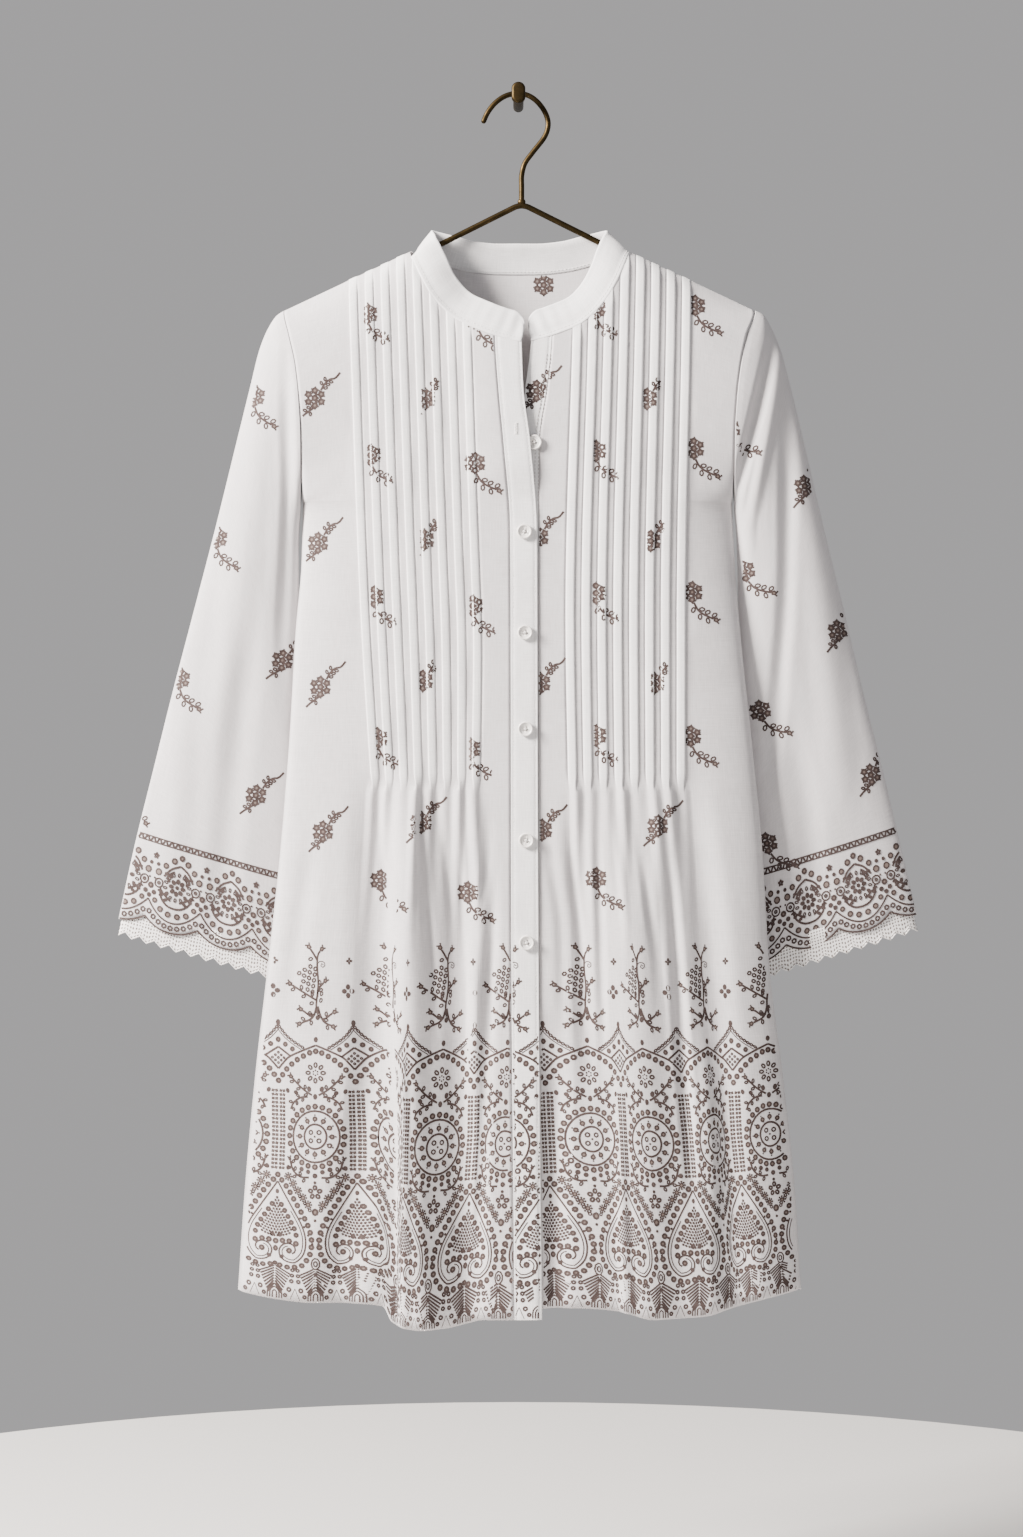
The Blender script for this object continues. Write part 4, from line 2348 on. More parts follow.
    def curl(self, a: float, h: float, radius: float) -> None:
        """Cuts a thin curl that winds in from its top round its middle."""
        turn = UP - np.linspace(0.0, 2.5 * math.pi, 15)
        out = radius * np.linspace(1.0, 0.3, 15)
        self.line(np.stack([a + out * np.cos(turn), h + out * np.sin(turn)], 1), 1.0)

    def bunch(self, a: float, h: float, out: float = 6.4) -> None:
        """Cuts seven ring flowers close together, each with five short petals.

        Args:
            a: Its middle across.
            h: Its middle up.
            out: How far out the other six lie.
        """
        places = [(a, h)]
        for k in range(6):
            turn = math.pi * (k + 0.5) / 3
            places.append((a + out * math.cos(turn), h + out * math.sin(turn)))
        for k, place in enumerate(places):
            self.ring(*place, 3.1, line=1.9, washed=True)
            self.rosette(*place, 5, 3.0, 1.05, start=0.7 * k, turned=False, sides=4, line=1.05)

    def block(self) -> Block:
        """The finished block: the meshes of its outlines and its wash.

        Returns:
            The two meshes.
        """
        made = []
        for name, bm in (("ink", self.ink), ("wash", self.wash)):
            made.append(bpy.data.meshes.new(name))
            bm.to_mesh(made[-1])
            bm.free()
        return tuple(made)


def beside(route: Route, off: float) -> Array:
    """A route's smooth line moved sideways to its right."""
    path = smooth_route(route, 6)
    way = unit(np.gradient(path, axis=0))
    return (path + off * np.stack([way[:, 1], -way[:, 0]], 1))[::3]


def arch(cut: Stamp) -> None:
    """Half of the arch with its beads, and of the sprays under it.

    Args:
        cut: The block.
    """
    cut.line([(0, 229), (12.8, 224), (24.5, 218.6), (30, 213.4), (35, 207.6)])
    cut.chain([(5.6, 222.4), (16.5, 216.6), (26.2, 208.6), (31.2, 202.2)], 6, washed=True)
    cut.branch([(3, 185), (9, 188.4), (15, 193), (21.5, 199.4)], 5, 1.8, 2.4)
    cut.branch([(7, 183.5), (14, 182.6), (20.5, 178), (23.5, 172)], 5, 1.7)
    cut.branch([(5.5, 112.5), (13.5, 112.8), (20.5, 118), (23.5, 126.5)], 6, 1.8, 1.8)
    cut.rings([(12.6, 119.6, 2.3), (6.4, 117.4, 2.2)], washed=True)
    cut.rings([(5.8, 190.4, 2.1, 1.3, 1.3), (18.4, 187.0, 2.0, 1.2, 0.6),
               (26.4, 188.4, 1.9, 1.3, 1.2), (25.4, 120.4, 2.0, 1.2, 2.0)])


def gable(cut: Stamp) -> None:
    """Half of the gable over a junction: rope, rings and the diamond's roof.

    Args:
        cut: The block.
    """
    cut.straight([(12, 218.6), (0, 227)])
    rope = [(1.2, 244.6), (7.5, 237.2), (15, 231.6), (22.5, 227.2)]
    cut.chain(rope, 8, 1.6, long=1.5, sides=6, line=1.2)
    cut.line(beside(rope, 2.4), 0.9)
    cut.rings([(6.6 * k, 233.2 - 3.9 * k, 2.5) for k in (1, 2)], washed=True)


def ladder(cut: Stamp) -> None:
    """Half of the paired ladders of small squares between two wheels."""
    squares = [(a, 119.6 + 3.6 * k, 1.8, 1.0, math.pi / 4 + 0.3 * math.sin(2.1 * k + a))
               for a in (1.9, 4.9) for k in range(20)]
    cut.rings(squares, sides=4, line=1.0, washed=True)


def wheel(cut: Stamp) -> None:
    """The wheel: two circles, twelve flowers, beads outside, four rings inside.

    Args:
        cut: The block.
    """
    middle, narrow = 148.4, 0.93
    turn = np.linspace(0.0, 2 * math.pi, 33)
    for radius in (10.8, 22.6):
        circle = np.stack([narrow * radius * np.cos(turn), middle + radius * np.sin(turn)], 1)
        cut.straight(circle, step=radius)
    for count, out, size, shape in (
        (12, 15.6, 2.5, {"line": 1.4}), (12, 19.0, 1.0, {"sides": 4}),
        (12, 13.0, 0.8, {"sides": 4}), (24, 26.6, BEAD, {"line": 1.6}),
    ):
        cut.rosette(0, middle, count, out, size, narrow, washed=True, **shape)
    cut.rosette(0, middle, 4, 5.2, 2.5, start=math.pi / 4, turned=False, line=1.4)
    cut.dot(0, middle, 1.1)


def chevron(cut: Stamp) -> None:
    """Half of the V of blossoms between two paisleys.

    Args:
        cut: The block.
    """
    for k in range(5):
        a, h = 25.2 - 4.7 * k, 112.4 - 6.0 * k
        cut.ring(a, h, 2.3, line=1.2, washed=True)
        cut.rosette(a, h, 8, 3.1, 1.1, sides=5, line=1.1)
    cut.rings([(18.6 - 4.6 * k, 101.6 - 6.0 * k, 1.9) for k in range(4)], line=1.2)
    cut.rings([(13.4 - 3.6 * k, 76.0 - 7.4 * k, 1.2) for k in range(4)], line=1.2)


PAISLEY = [(0, 107.6), (5.6, 98.6), (15, 83.5), (23.3, 69), (26.6, 56), (24.6, 44), (18, 36.2)]


def paisley(cut: Stamp) -> None:
    """Half of the leaf-shaped paisley at a junction: outline, curl, beads and seeds.

    Args:
        cut: The block.
    """
    turn = np.linspace(-0.36 * math.pi, -2.3 * math.pi, 16)
    out = np.linspace(12.2, 3.4, 16)
    curl = np.stack([12.6 + out * np.cos(turn), 46.4 + 0.92 * out * np.sin(turn)], 1)
    cut.line([*PAISLEY[:-1], *curl], 1.5)
    cut.line(beside([*PAISLEY[2:-1], *curl[:9]], 2.6), 0.95)
    rim = beside(PAISLEY, -5.2)
    cut.chain([(3.8, 108.8), *rim[2:], (10.8, 30.6), (4.2, 32.0)], 17, washed=True)
    cut.chain(beside(PAISLEY[1:5], 7.4)[1:-1], 6, 2.6, washed=True)
    seeds = [(2.7 * k + 1.35 * (row % 2), row) for row in range(14) for k in range(6)]
    cut.rings([(a, 93.0 - 2.6 * row + 0.02 * a**2, 1.2, 1.25, 1.2 - 0.05 * a)
               for a, row in seeds if a <= 0.8 + 1.06 * row], sides=5)
    cut.rings([(6.0, 55.0, 2.8), (12.0, 55.0, 2.8), (18.0, 53.2, 2.8), (3.4, 60.2, 2.4),
               (5.4, 40.4, 2.0), (12.0, 46.4)], washed=True)


def fan(cut: Stamp) -> None:
    """Half of a feather fan along the hem, with its beads and its palmette.

    Args:
        cut: The block.
    """
    for k in range(8):
        cut.straight([(0.5, 31.0 - 2.5 * k), (13.6 - 1.1 * k, 23.4 - 2.5 * k)], 1.7, 6.0)
    cut.rings([(15.3, 28.0, 2.2), (14.9, 22.6, 2.2), (14.5, 17.2, 2.2), (12.4, 9.8, 2.4),
               (9.2, 4.6, 2.1)], line=1.6)
    for k in range(3):
        reach = 7.4 - 2.6 * k
        cut.line([(0, 13.6 - 2.7 * k), (0.75 * reach, 8.8 - 0.9 * k), (reach * 0.85, 1.4)], 1.2)


# Rings on the axis of the border's wheel, and on that of its junction: up, size and length
WHEEL_RINGS = ((82.0, 3.2, 1.1), (183.6, 2.1, 1.3), (114.0, 2.4, 1.0), (108.0, 1.5, 1.0),
               (25.4, 1.9, 1.0), (74.6, 1.4, 1.0))
JUNCTION_RINGS = ((233.4, 2.4, 1.15), (248.4, 2.1, 1.4), (197.0, BEAD, 1.0), (113.4, BEAD, 1.0),
                  (98.6, 1.7, 1.3), (54.2, BEAD, 1.0), (47.6, 2.4, 1.2), (33.8, 2.4, 1.0))


def border_block() -> Block:
    """One repeat of the skirt's border, centred on a wheel.

    Returns:
        The block.
    """
    cut = Stamp()
    for shape in (arch, chevron, fan):
        cut.halves(shape)
    for cut.axis, cut.sign in ((JUNCTION, -1), (-JUNCTION, 1)):
        for shape in (gable, ladder, paisley, fan):
            shape(cut)
    cut.axis, cut.sign = 0.0, 1
    for way in (-1, 1):
        cut.straight([(13.4 * way, 1.4), (17.5 * way, 11.0), (21.6 * way, 1.4)], 0.5)
    wheel(cut)
    cut.rosette(0, 204.8, 8, 6.9, 2.2, long=1.3, line=1.55)
    cut.rosette(0, 204.8, 6, 2.2, 1.0, sides=4)
    cut.rosette(0, 99.4, 5, 4.2, 2.4, long=1.15)
    cut.ring(0, 223.8, washed=True)
    cut.ring(0, 234, 2.1, 1.25, UP)
    for a, rows in ((0, WHEEL_RINGS), (JUNCTION, JUNCTION_RINGS)):
        cut.rings([(a, *row, UP) for row in rows], washed=True)
    cut.rings([(0, 35.6, size, 1.45, UP) for size in (2.2, 4.2)], sides=9, line=1.3)
    cut.rings([(JUNCTION + 2.6 * (i - j), 217.4 + 2.3 * (i + j - 2), 1.5)
               for i in range(3) for j in range(3)], sides=6, line=1.1)
    return cut.block()


# The spray's side stems: where each leaves, bends and ends, and how many leaves it has
TWIGS = (
    ((0.5, 268), (-10, 274), (-22, 281), 4), ((1, 271), (2, 278), (7, 283.5), 2),
    ((0, 262), (-3, 254), (-12, 259), 1), ((0, 260), (-4, 252.5), (-13, 248.5), 3),
    ((1.5, 263), (6, 252), (15.5, 257), 2), ((2, 260), (7, 250), (14, 246.5), 3),
    ((0.5, 303), (-2.5, 308), (-5.5, 312.5), 0), ((0.5, 304), (1.5, 308.5), (3.5, 311), 0),
)


def spray_block() -> Block:
    """The flowering spray over a wheel, and the small flowers beside it.

    Returns:
        The block.
    """
    cut = Stamp()
    cut.line([(1.5, 256), (0, 264), (1.2, 276), (1.6, 284), (0.6, 296), (0.5, 305)])
    for *route, leaves in TWIGS:
        cut.branch(route, leaves, 1.9, 2.5)
    cut.line([(0.8, 300), (3.2, 302.2), (5.6, 302)], 0.85)
    cut.curl(5.8, 299.0, 3.0)
    cut.rings([(0.6 * row - 4.4 * k - 3.6, 275.5 + 5.0 * row + 2.0 * k, 2.2, 1.15, 1.2 + 0.8 * k)
               for row in range(5) for k in range(4 - abs(row - 2))], sides=6, line=1.4)
    cut.rings([(-5.4, 304.0, 1.9, 1.3, 0.4), (5.0, 274.0, 1.9, 1.3, 1.2),
               (4.4, 268.2, 1.9, 1.3, 1.2), (-4.2, 265.6, 1.9, 1.3, 0.4)], line=1.3)
    cut.rosette(JUNCTION - 4.0, 276.2, 4, 3.7, 2.3, long=1.15)
    cut.rosette(JUNCTION - 2.6, 302.4, 4, 1.8, 1.3, long=1.3, sides=5)
    return cut.block()


def trailing_block() -> Block:
    """A bunch of ring flowers with a leafy stem that trails down to the right.

    Returns:
        The block.
    """
    cut = Stamp()
    cut.bunch(-8.5, 9.6)
    cut.branch([(-7.0, 0.4), (-3.2, -6.0), (2.5, -10.0), (10.0, -13.2)], 6, 2.25, 2.6)
    return cut.block()


def slanting_block() -> Block:
    """A bunch of ring flowers crossed by a thin slanting stem.

    Returns:
        The block.
    """
    cut = Stamp()
    cut.bunch(-4.5, -2.0)
    cut.branch([(0.8, 4.6), (3.6, 9.6), (7.4, 13.6)], 5, 1.75)
    cut.line([(7.4, 13.6), (10.4, 14.6), (13.4, 15.2), (17.4, 20.0)])
    cut.branch([(-5.5, -10.4), (-8.6, -12.6), (-11.0, -14.4)], 3, 1.75)
    cut.line([(-11.0, -14.4), (-13.6, -16.2), (-17.0, -19.4)])
    return cut.block()


def flower_block() -> Block:
    """A bunch of ring flowers alone."""
    cut = Stamp()
    cut.bunch(0, 0)
    return cut.block()


def cuff_half(cut: Stamp) -> None:
    """Half of one repeat of the cuff's border, centred on a scallop.

    Args:
        cut: The block.
    """
    across = np.linspace(0.0, 1.0, 9)
    cut.straight(np.stack([CUSP * across, 9.6 + 15.6 * across**2], 1), 1.5)
    cut.straight(np.stack([CUSP * across, 1.0 + 8.8 * across**2.2], 1), 1.5)
    cut.rings([(CUSP * u, 5.3 + 12.4 * u**2.1, 2.75) for u in (0.24, 0.47, 0.69, 0.88)],
              sides=6, line=1.5)
    cut.rings([(4.2, 16.2, 2.9), (11.8, 19.0, 2.9), (18.0, 25.2, 2.6), (13.4, 56.8, 2.9)],
              line=1.4, washed=True)
    cut.line([(0, 59.6), (8.0, 55.0), (13.6, 47.4)])
    cut.line([(15.4, 36.0), (12.2, 28.0), (6.0, 23.2), (0, 22.2)])
    cut.branch([(4.0, 28.0), (8.0, 30.4), (12.4, 33.4)], 3, 1.6, 1.9)
    cut.branch([(4.4, 53.6), (8.6, 50.4), (11.0, 45.6)], 3, 1.5)
    cut.ring(6.4, 62.6, 3.1, line=1.5, washed=True)
    cut.ring(CUSP - 5.0, 50.0, 3.3, line=1.3, washed=True)
    cut.ring(CUSP - 3.4, 56.4, 1.8)
    cut.ring(CUSP - 4.0, 31.6, 2.3, washed=True)
    for size, sides in ((4.5, 10), (2.0, 6)):
        cut.ring(CUSP - 7.0, 40.8, size, sides=sides, line=1.4)
    cut.dot(CUSP - 2.4, 44.0, 1.1)
    for h in (73.6, 78.0):
        cut.straight([(0, h), (CUSP, h)], 1.2, 4.0)
    for k in range(8):
        a, tilt = CUSP * (k + 0.5) / 8, 0.9 if k % 2 else -0.9
        cut.straight([(a - tilt, 73.8), (a + tilt, 77.8)], 1.75, 5.0)


def cuff_block() -> Block:
    """One repeat of the cuff's border.

    Returns:
        The block.
    """
    cut = Stamp()
    cut.halves(cuff_half)
    cut.ring(0, 5.3, 2.75, sides=6, line=1.5)
    cut.rings([(CUSP, 37.0, 2.9), (CUSP, 28.4, 2.2), (0, 66.6, 2.9)], washed=True)
    cut.rosette(0, 40.8, 8, 5.4, 2.0, long=1.25, washed=True)
    cut.rosette(0, 40.8, 14, 11.0, 1.6, long=1.4, line=1.1)
    cut.ring(0, 40.8, 1.9)
    cut.rosette(CUSP, 63.0, 5, 1.7, 1.2, long=1.2)
    return cut.block()


# Counts of border repeats, and where each lies across at the sprays, the wheels and the hem
BORDER_LEVELS = (-756.0, -893.0, -1018.0)
BORDER_SPREAD = {
    Side.RIGHT: (
        (-1.0, -243, -241, -244), (-0.5, -207, -205, -209), (0.0, -173, -174.5, -173.5),
        (0.5, -143, -138.5, -138), (0.68, -132, -121, -121), (1.0, -108, -102.5, -104),
        (1.5, -93.5, -97.5, -100), (1.7, -80, -88.5, -91), (2.0, -61, -68.5, -77.5),
        (2.5, -37, -38.5, -46.5), (3.0, -7.5, -12, -17.5), (3.5, 22, 24, 18.5),
    ),
    Side.LEFT: (
        (-0.9, -3, 2, 6), (-0.5, 18.5, 24.5, 30.5), (0.0, 56, 63, 69.5), (0.32, 73, 83.5, 86),
        (0.5, 83.5, 89.5, 94.5), (0.68, 89, 96, 105), (1.0, 100.5, 111.5, 121.5),
        (1.5, 130, 145.5, 154.5), (2.0, 156.5, 168.5, 180.5), (2.32, 170, 177, 190),
        (2.5, 179.5, 186.5, 199.5), (3.0, 213, 215.5, 226), (3.5, 246, 249, 257),
    ),
}
BACK_REPEATS = 7
BACK_COLUMN = 47.5  # mm between the back's columns of sprigs
BACK_SPRIG_Z = -205.0
BACK_SPRIG_STEP = 124.0
NECK_FLOWER = Point(22, -157)
# How much of the hem's rise and fall the print takes at each height over it
HEM_FOLLOW = polyline((0, 1.0), (15, 1.0), (40, 0.75), (110, 0.5), (150, 0.4), (230, 0.15), (330, 0.0))


class Column(NamedTuple):
    """A column of sprigs: its first one, the step to the next and how they lean."""

    trails: bool
    x: float
    z: float
    step_x: float
    step_z: float
    rows: int
    lean: float = 0.0


BODY_SPRIGS = [Column(*row) for row in (
    (True, -122, -197, 3, -122, 5), (True, -27, -203, -2, -123, 5),
    (True, 75, -193, 0, -122.5, 5), (True, 161, -189, -1.5, -124, 4),
    (False, -171, -258, 2.5, -124.5, 4), (False, -76, -259, -1, -121.5, 4),
    (False, 20, -252, 1.5, -126, 4), (False, 115, -259, 3, -122.5, 4),
)]
SLEEVE_SPRIGS = [Column(*row) for row in (
    (True, -221, -268, -33, -122, 3, -0.15), (True, -334, -611, 0, 0, 1, -0.15),
    (True, 192, -295, 14, -121, 3, 0.2), (True, 226, -652, 0, 0, 1, 0.2),
    (False, -200, -484, -23, -117, 2, -0.1), (False, 252, -332, 29, -125, 3, 0.15),
)]


class Sprig(NamedTuple):
    """One sprig of a column."""

    trails: bool
    x: float
    z: float
    lean: float = 0.0


def sprigs(columns: Sequence[Column], side: Side) -> list[Sprig]:
    """The sprigs of some columns that lie on one side of the tunic.

    Args:
        columns: The columns.
        side: The side of the wearer.

    Returns:
        The sprigs.
    """
    every = [
        Sprig(row.trails, row.x + k * row.step_x, row.z + k * row.step_z, row.lean)
        for row in columns for k in range(row.rows)
    ]
    return [sprig for sprig in every if (sprig.x < 0) == (side is Side.RIGHT)]


def tuck_window(sprig: Sprig) -> tuple[float, float]:
    """Between which x a sprig shows: among the tucks, a fold edge hides the rest of it.

    Args:
        sprig: The sprig.

    Returns:
        The lowest and the highest x.
    """
    side = Side.RIGHT if sprig.x < 0 else Side.LEFT
    low, high = sprig.x - 40, sprig.x + 40
    if sprig.z > RELEASE_Z:
        outer, inner = (abs(float(tuck_x(side, k, sprig.z))) for k in (0, TUCKS - 1))
        pitch = (outer - inner) / (TUCKS - 1)
        if inner - pitch < abs(sprig.x) < outer:
            half = (0.85 if sprig.trails else 0.6) * pitch
            low, high = sprig.x - half, sprig.x + half
        elif abs(sprig.x) >= outer:
            low = max(low, outer) if side is Side.LEFT else low
            high = min(high, -outer) if side is Side.RIGHT else high
    return low, high


UNDER_SPRIG = Sprig(False, 20, -252, 0.001)  # leaning, however little, so that it shows whole


@dataclass
class Printer:
    """Lays stamps on the cloth, a hair's breadth over its surface."""

    dresser: Dresser
    finishes: Finishes

    def __post_init__(self) -> None:
        """Cuts the blocks once."""
        self.border, self.spray, self.cuff = border_block(), spray_block(), cuff_block()
        self.sprig = {True: trailing_block(), False: slanting_block()}

    def on_face(self, cloth: Cloth, x: Array, z: Array, way: float) -> Array:
        """Where a print's points meet the cloth, cast level from in front or behind.

        Args:
            cloth: The cloth.
            x: Where across, and not a number where nothing is printed.
            z: Where up.
            way: -1 to print the front face, 1 the back.

        Returns:
            The points, which aren't numbers where there is no cloth.
        """
        placed = np.full((len(x), 3), np.nan)
        for k in np.flatnonzero(np.isfinite(x)):
            start = Vector((x[k] * MM, way, z[k] * MM))
            hit, normal, _, _ = cloth.carrier.ray_cast(start, Vector((0, -way, 0)))
            if hit is not None:
                out = normal if normal.y * way > 0 else -normal
                placed[k] = hit / MM + out * (cloth.wall / 2 + INK_LIFT)
        return placed

    @staticmethod
    def torn(face: bmesh.types.BMFace) -> bool:
        """Whether a face spans the step at a fold's edge."""
        deep, wide = ([vert.co[k] for vert in face.verts] for k in (1, 0))
        return max(deep) - min(deep) > TORN_STEP * MM + 0.5 * (max(wide) - min(wide))

    def lay(self, bm: Mesh, stamp: bpy.types.Mesh, place: Place) -> None:
        """Adds one copy of a block's mesh to a print, without the faces that miss the cloth.

        Args:
            bm: The print's mesh.
            stamp: The block's mesh.
            place: Gives the point on the cloth, in millimetres, for each a and h.
        """
        copy = bmesh.new()
        copy.from_mesh(stamp)
        flat = np.array([vert.co.xy for vert in copy.verts])
        places = place(flat[:, 0], flat[:, 1])
        found = np.isfinite(places).all(axis=1)
        for vert, spot in zip(copy.verts, np.where(found[:, None], places, 0.0)):
            vert.co = spot * MM
        lost = [vert for vert, kept in zip(copy.verts, found) if not kept]
        bmesh.ops.delete(copy, geom=lost, context="VERTS")
        torn = [face for face in copy.faces if self.torn(face)]
        bmesh.ops.delete(copy, geom=torn, context="FACES_ONLY")
        laid = bpy.data.meshes.new("laid")
        copy.to_mesh(laid)
        copy.free()
        bm.from_mesh(laid)
        bpy.data.meshes.remove(laid)

    def make_print(self, name: str, copies: Iterable[tuple[Block, Place]],
                   way_out: Callable[[Vector], Vector]) -> list[Piece]:
        """Makes one print of many copies.

        Args:
            name: The print's name.
            copies: Each copy's block, and what gives the point on the cloth, in
                millimetres, for its a and h; one that isn't a number is left out.
            way_out: Which way its faces point.

        Returns:
            Its outlines and its wash.
        """
        made, parts = [], [bmesh.new(), bmesh.new()]
        for block, place in copies:
            for bm, stamp in zip(parts, block):
                self.lay(bm, stamp, place)
        for bm, kind, ink in zip(parts, ("print_", "wash_"), (self.finishes.ink, self.finishes.wash)):
            loose = [vert for vert in bm.verts if not vert.link_faces]
            bmesh.ops.delete(bm, geom=loose, context="VERTS")
            facing(bm, way_out)
            bm.normal_update()
            if ink is self.finishes.wash:
                for vert in bm.verts:
                    vert.co -= vert.normal * WASH_UNDER * MM
            made.append(self.dresser.place(kind + name, bm, ink, (), "voile"))
        return made

    def front_border(self, side: Side, cloth: Cloth, name: str, lap: float) -> list[Piece]:
        """The border on one front or its placket, which meet at the opening's seam.

        Args:
            side: The side of the opening that they are on.
            cloth: The panel or the placket.
            name: The print's name.
            lap: 1 for the panel, -1 for the placket.

        Returns:
            The print's pieces.
        """
        repeats, *levels = zip(*BORDER_SPREAD[side])

        def place(repeat: int, a: Array, h: Array) -> Array:
            """Where one repeat of the border lies on the cloth.

            Args:
                repeat: The number of the repeat.
                a: Places across the block.
                h: Places up the block.

            Returns:
                The points.
            """
            count = repeat + a / REPEAT
            at = np.array([np.interp(count, repeats, level) for level in levels])
            z = HEM_MEAN_Z + h
            for _ in range(2):
                x = np.array([np.interp(-down, -np.array(BORDER_LEVELS), column)
                              for down, column in zip(z, at.T)])
                follow = eased(HEM_FOLLOW, "x", "z", h)
                z = HEM_MEAN_Z + h + follow * (hem_z(side, x) - HEM_MEAN_Z)
            past = (x - opening_x(side, Line.SEAM, z)) * side.value
            kept = (past * lap > 0) & (count > repeats[0]) & (count < repeats[-1])
            return self.on_face(cloth, np.where(kept, x, np.nan), z, -1.0)

        copies = [(block, partial(place, repeat)) for block in (self.border, self.spray)
                  for repeat in range(-1, 4)]
        return self.make_print(name, copies, lambda _: FRONT)

    def back_border(self, back: BackPanel) -> list[Piece]:
        """The back's border, evenly spaced.

        Args:
            back: The back.

        Returns:
            The print's pieces.
        """
        right, left = (side_x(side, BORDER_LEVELS[1]) for side in Side)

        def place(repeat: int, a: Array, h: Array) -> Array:
            """Where one repeat of the border lies on the back.

            Args:
                repeat: The number of the repeat.
                a: Places across the block.
                h: Places up the block.

            Returns:
                The points.
            """
            share = (repeat + 0.5 + a / REPEAT) / BACK_REPEATS
            rise = back_hem_z(np.clip(share, 0, 1)) - HEM_MEAN_Z
            z = HEM_MEAN_Z + h + eased(HEM_FOLLOW, "x", "z", h) * rise
            x = np.where((share > 0.0) & (share < 1.0), right + share * (left - right), np.nan)
            return self.on_face(back, x, z, 1.0)

        copies = [(block, partial(place, repeat)) for repeat in range(-1, BACK_REPEATS + 1)
                  for block in (self.border, self.spray)]
        return self.make_print("border_back", copies, lambda _: BACK)

    def cuff_border(self, sleeve: Sleeve, name: str) -> list[Piece]:
        """The border round a sleeve's end, in step with its scallops.

        Args:
            sleeve: The sleeve.
            name: The print's name.

        Returns:
            The print's pieces.
        """
        turns = np.linspace(0.0, 2 * math.pi, 1441)
        phases = sleeve.phase(turns)

        def place(repeat: int, a: Array, h: Array) -> Array:
            """Where one repeat of the border lies on the sleeve.

            Args:
                repeat: The number of the repeat.
                a: Places across the block.
                h: Places up the block.

            Returns:
                The points.
            """
            count = repeat + 0.5 + a / SCALLOP_PITCH
            turn = np.interp(count, phases, turns, left=np.nan, right=np.nan)
            return sleeve.surface(1.0 - h / sleeve.run(turn), turn, sleeve.wall / 2 + CUFF_LIFT)

        copies = [(self.cuff, partial(place, repeat))
                  for repeat in range(math.floor(phases[0]) - 1, math.ceil(phases[-1]) + 1)]
        return self.make_print(name, copies, sleeve.outward)

    def spots(self, cloth: Cloth, marks: Iterable[Sprig], way: float, name: str) -> list[Piece]:
        """Single sprigs on one piece of cloth.

        Args:
            cloth: The cloth.
            marks: The sprigs.
            way: -1 to print the front face, 1 the back.
            name: The print's name.

        Returns:
            The print's pieces.
        """
        def place(sprig: Sprig, a: Array, h: Array) -> Array:
            """Where one sprig lies on the cloth.

            Args:
                sprig: The sprig.
                a: Places across the block.
                h: Places up the block.

            Returns:
                The points.
            """
            whole = way > 0 or sprig.lean
            low, high = (-400.0, 400.0) if whole else tuck_window(sprig)
            cos, sin = math.cos(sprig.lean), math.sin(sprig.lean)
            x = sprig.x + a * cos - h * sin
            x = np.where((x > low) & (x < high), x, np.nan)
            return self.on_face(cloth, x, sprig.z + a * sin + h * cos, way)

        copies = [(self.sprig[sprig.trails], partial(place, sprig)) for sprig in marks]
        return self.make_print(name, copies, lambda _: Vector((0, way, 0)))

    def back_print(self, back: BackPanel) -> list[Piece]:
        """The back's border and sprigs, and the flower inside the neck.

        Args:
            back: The back.

        Returns:
            The prints' pieces.
        """
        marks = [
            Sprig(column % 2 == 0, BACK_COLUMN * column,
                  BACK_SPRIG_Z - BACK_SPRIG_STEP * (row + (column % 2) / 2))
            for column in range(-3, 4) for row in range(5 - column % 2)
        ]
        made = self.back_border(back) + self.spots(back, marks, 1.0, "sprigs_back")
        x, z = NECK_FLOWER
        flower = [(flower_block(), lambda a, h: self.on_face(back, x + a, z + h, -1.0))]
        return made + self.make_print("flower_neck", flower, lambda _: FRONT)


# The whole tunic


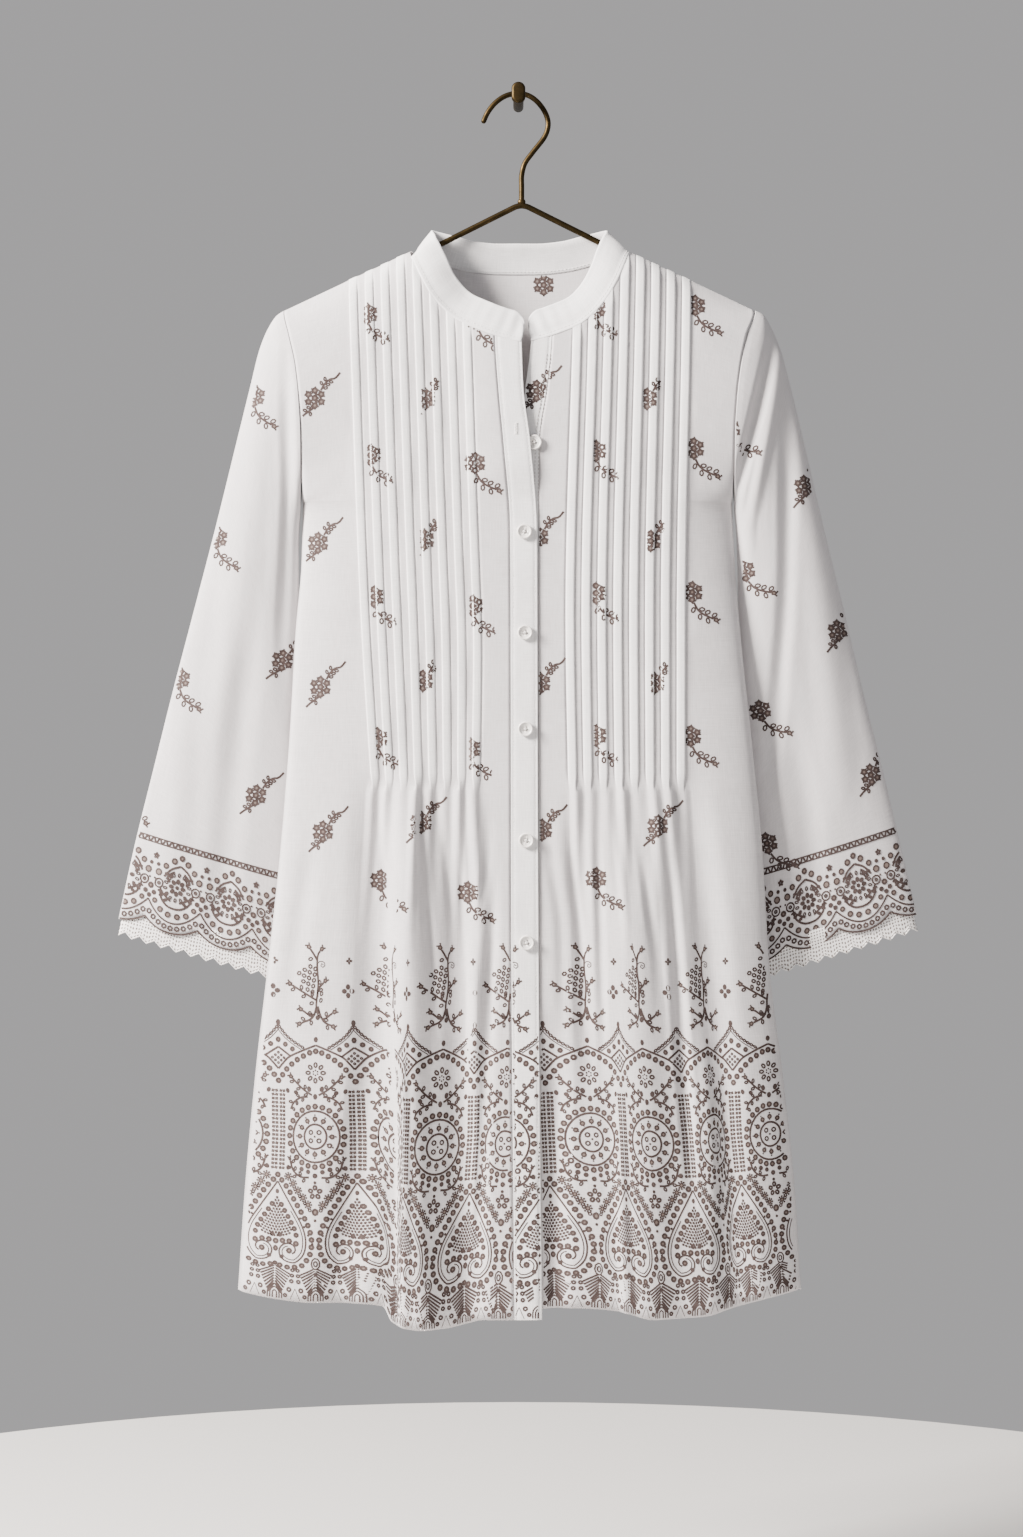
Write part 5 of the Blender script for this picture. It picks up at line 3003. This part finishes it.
@dataclass
class Tunic:
    """Every sewn piece of the tunic, and what it was cut to."""

    fronts: dict[Side, FrontPanel] = field(default_factory=lambda: {s: FrontPanel(s) for s in Side})
    back: BackPanel = field(default_factory=BackPanel)
    plackets: dict[Side, Placket] = field(default_factory=lambda: {s: Placket(s) for s in Side})
    band: CollarBand = field(default_factory=CollarBand)
    sleeves: dict[Side, Sleeve] = field(default_factory=lambda: {s: Sleeve(s) for s in Side})

    def __post_init__(self) -> None:
        """Sets a lace edging inside each sleeve."""
        self.laces = {side: CuffLace(sleeve) for side, sleeve in self.sleeves.items()}

    def build(self, dresser: Dresser, finishes: Finishes) -> None:
        """Makes the cloth and the lace.

        Args:
            dresser: What places the pieces.
            finishes: The part's finishes.
        """
        for panel in (*self.fronts.values(), self.back, *self.sleeves.values()):
            panel.build(dresser, finishes.voile)
        for strip in (*self.plackets.values(), self.band):
            strip.build(dresser, finishes.facing)
        for lace in self.laces.values():
            lace.build(dresser, finishes)

    def dress(self, dresser: Dresser, finishes: Finishes) -> dict[str, list[Piece]]:
        """Sews the stitches and prints the cloth.

        Args:
            dresser: What places the pieces.
            finishes: The part's finishes.

        Returns:
            The pieces that lie on each cloth, by its name.
        """
        stitches = TopStitching().build(dresser, finishes, self.plackets.values(), self.band)
        printer = Printer(dresser, finishes)
        made = {"back": printer.back_print(self.back)}
        for side, panel in self.fronts.items():
            sleeve = self.sleeves[side]
            made[panel.name] = printer.front_border(side, panel, "border_" + side.word, 1)
            made[panel.name] += printer.spots(panel, sprigs(BODY_SPRIGS, side), -1.0,
                                              "sprigs_" + side.word)
            made[sleeve.name] = printer.cuff_border(sleeve, "cuff_" + side.word)
            for way, face in ((-1.0, "sprigs_sleeve_"), (1.0, "sprigs_sleeve_back_")):
                marks = sprigs(SLEEVE_SPRIGS, side)
                made[sleeve.name] += printer.spots(sleeve, marks, way, face + side.word)
        top, under = self.plackets[Side.RIGHT], self.plackets[Side.LEFT]
        made[top.name] = printer.front_border(Side.RIGHT, top, "border_placket", -1)
        made[under.name] = printer.spots(under, [UNDER_SPRIG], -1.0, "sprig_placket")
        return {name: made.get(name, []) + stitches.get(name, []) for name in {**made, **stitches}}

    def declare(self, dressing: dict[str, list[Piece]]) -> None:
        """Says what each sheet was cut to, what it hangs from and what lies on it.

        Args:
            dressing: The pieces that lie on each cloth, by its name.
        """
        bodices = [*self.fronts.values(), self.back]
        hung = [(panel, ["wire_arms"]) for panel in bodices]
        hung.append((self.band, [panel.piece for panel in bodices]))
        for side, front in self.fronts.items():
            hung.append((self.plackets[side], [front.piece]))
            hung.append((self.sleeves[side], [front.piece, self.back.piece]))
            hung.append((self.laces[side], [self.sleeves[side].piece]))
        for cloth, holders in hung:
            places = np.array([vert.co for vert in cloth.piece.data.vertices])
            across, _, long = np.ptp(places, axis=0)
            if isinstance(cloth, (CollarBand, CuffLace)):
                across = cloth.length * MM
                long = cloth.area / across
            elif isinstance(cloth, Sleeve):
                across = self.laces[cloth.side].length * MM


# Studio


class Lamp(NamedTuple):
    """A square area light, and the point that it is aimed at."""

    name: str
    place: tuple[float, float, float]
    size: float
    watts: float
    tint: str
    aim: tuple[float, float, float] = (0.0, 0.0, -0.6)


@dataclass
class Studio:
    """A pale floor, soft light from the upper left, and the camera, in metres."""

    floor_z: float = -1.34
    floor_y: float = -0.1
    floor_radius: float = 1.1
    floor_tint: str = "#D9D7D4"
    world_tint: str = "#E3E1E2"
    world_strength: float = 0.55
    lens: float = 48.12
    camera_place: tuple[float, float, float] = (-0.006, -2.7, -0.5792)
    lamps: tuple[Lamp, ...] = (
        Lamp("key", (-2.2, -1.1, 0.85), 0.9, 520.0, "#FFF8F2"),
        Lamp("fill", (1.6, -2.6, -0.2), 2.2, 12.0, "#F6F6FA"),
    )

    def show(self, name: str, data: Any) -> bpy.types.Object:
        """Puts a mesh, a light or a camera in the scene."""
        thing = bpy.data.objects.new(name, data)
        bpy.context.scene.collection.objects.link(thing)
        return thing

    def floor(self) -> None:
        """A plain pale disc under the tunic."""
        bm = bmesh.new()
        bmesh.ops.create_circle(bm, cap_ends=True, segments=96, radius=self.floor_radius)
        bmesh.ops.translate(bm, verts=bm.verts[:], vec=(0, self.floor_y, self.floor_z))
        mesh = bpy.data.meshes.new("floor")
        bm.to_mesh(mesh)
        bm.free()
        tone = srgb(self.floor_tint)
        mesh.materials.append(Surface("pale floor", {"Roughness": 0.8, "Base Color": tone}).material)
        floor = self.show("floor", mesh)
        floor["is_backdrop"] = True

    def lights(self) -> None:
        """The soft key from the upper left, a weak fill, and a pale world."""
        for row in self.lamps:
            data = bpy.data.lights.new(row.name, "AREA")
            data.shape = "SQUARE"
            data.size = row.size
            data.energy = row.watts
            data.color = srgb(row.tint)[:3]
            lamp = self.show(row.name, data)
            lamp.location = row.place
            way = Vector(row.aim) - Vector(row.place)
            lamp.rotation_euler = way.to_track_quat("-Z", "Y").to_euler()
        world = bpy.data.worlds.new("studio")
        world.use_nodes = True
        shade = world.node_tree.nodes["Background"]
        shade.inputs["Color"].default_value = srgb(self.world_tint)
        shade.inputs["Strength"].default_value = self.world_strength
        bpy.context.scene.world = world

    def camera(self) -> None:
        """A level camera in front of the tunic."""
        data = bpy.data.cameras.new("camera")
        data.sensor_fit = "VERTICAL"
        data.sensor_height = 24.0
        data.lens = self.lens
        data.clip_end = 20.0
        camera = self.show("camera", data)
        camera.location = self.camera_place
        camera.rotation_euler = (math.radians(90), 0.0, 0.0)
        bpy.context.scene.camera = camera

    def build(self) -> None:
        """Sets up the floor, the lights and the camera."""
        self.floor()
        self.lights()
        self.camera()


def write_sizes(before: Any, after: Any) -> None:
    """Keeps the solids' box and the dressed part's box for comparison.

    Args:
        before: The solids' box.
        after: The dressed part's box.
    """
    plain = lambda box: [[float(v) for v in corner] for corner in box]  # noqa: E731
    {"solids": plain(before), "dressed": plain(after)}


def main() -> None:
    """Builds the tunic, its hanger and its peg, and sets up the studio."""
    logging.basicConfig(level=logging.INFO, format="%(name)s: %(message)s")
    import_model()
    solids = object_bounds()
    dresser, finishes, tunic = Dresser(), make_finishes(), Tunic()
    tunic.build(dresser, finishes)
    dressing = tunic.dress(dresser, finishes)
    for part in (Buttons(), Buttonhole(), Hanger(), WallPeg()):
        part.build(dresser, finishes)
    tunic.declare(dressing)
    Studio().build()
    write_sizes(solids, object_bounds())


if __name__ == "__main__":
    main()
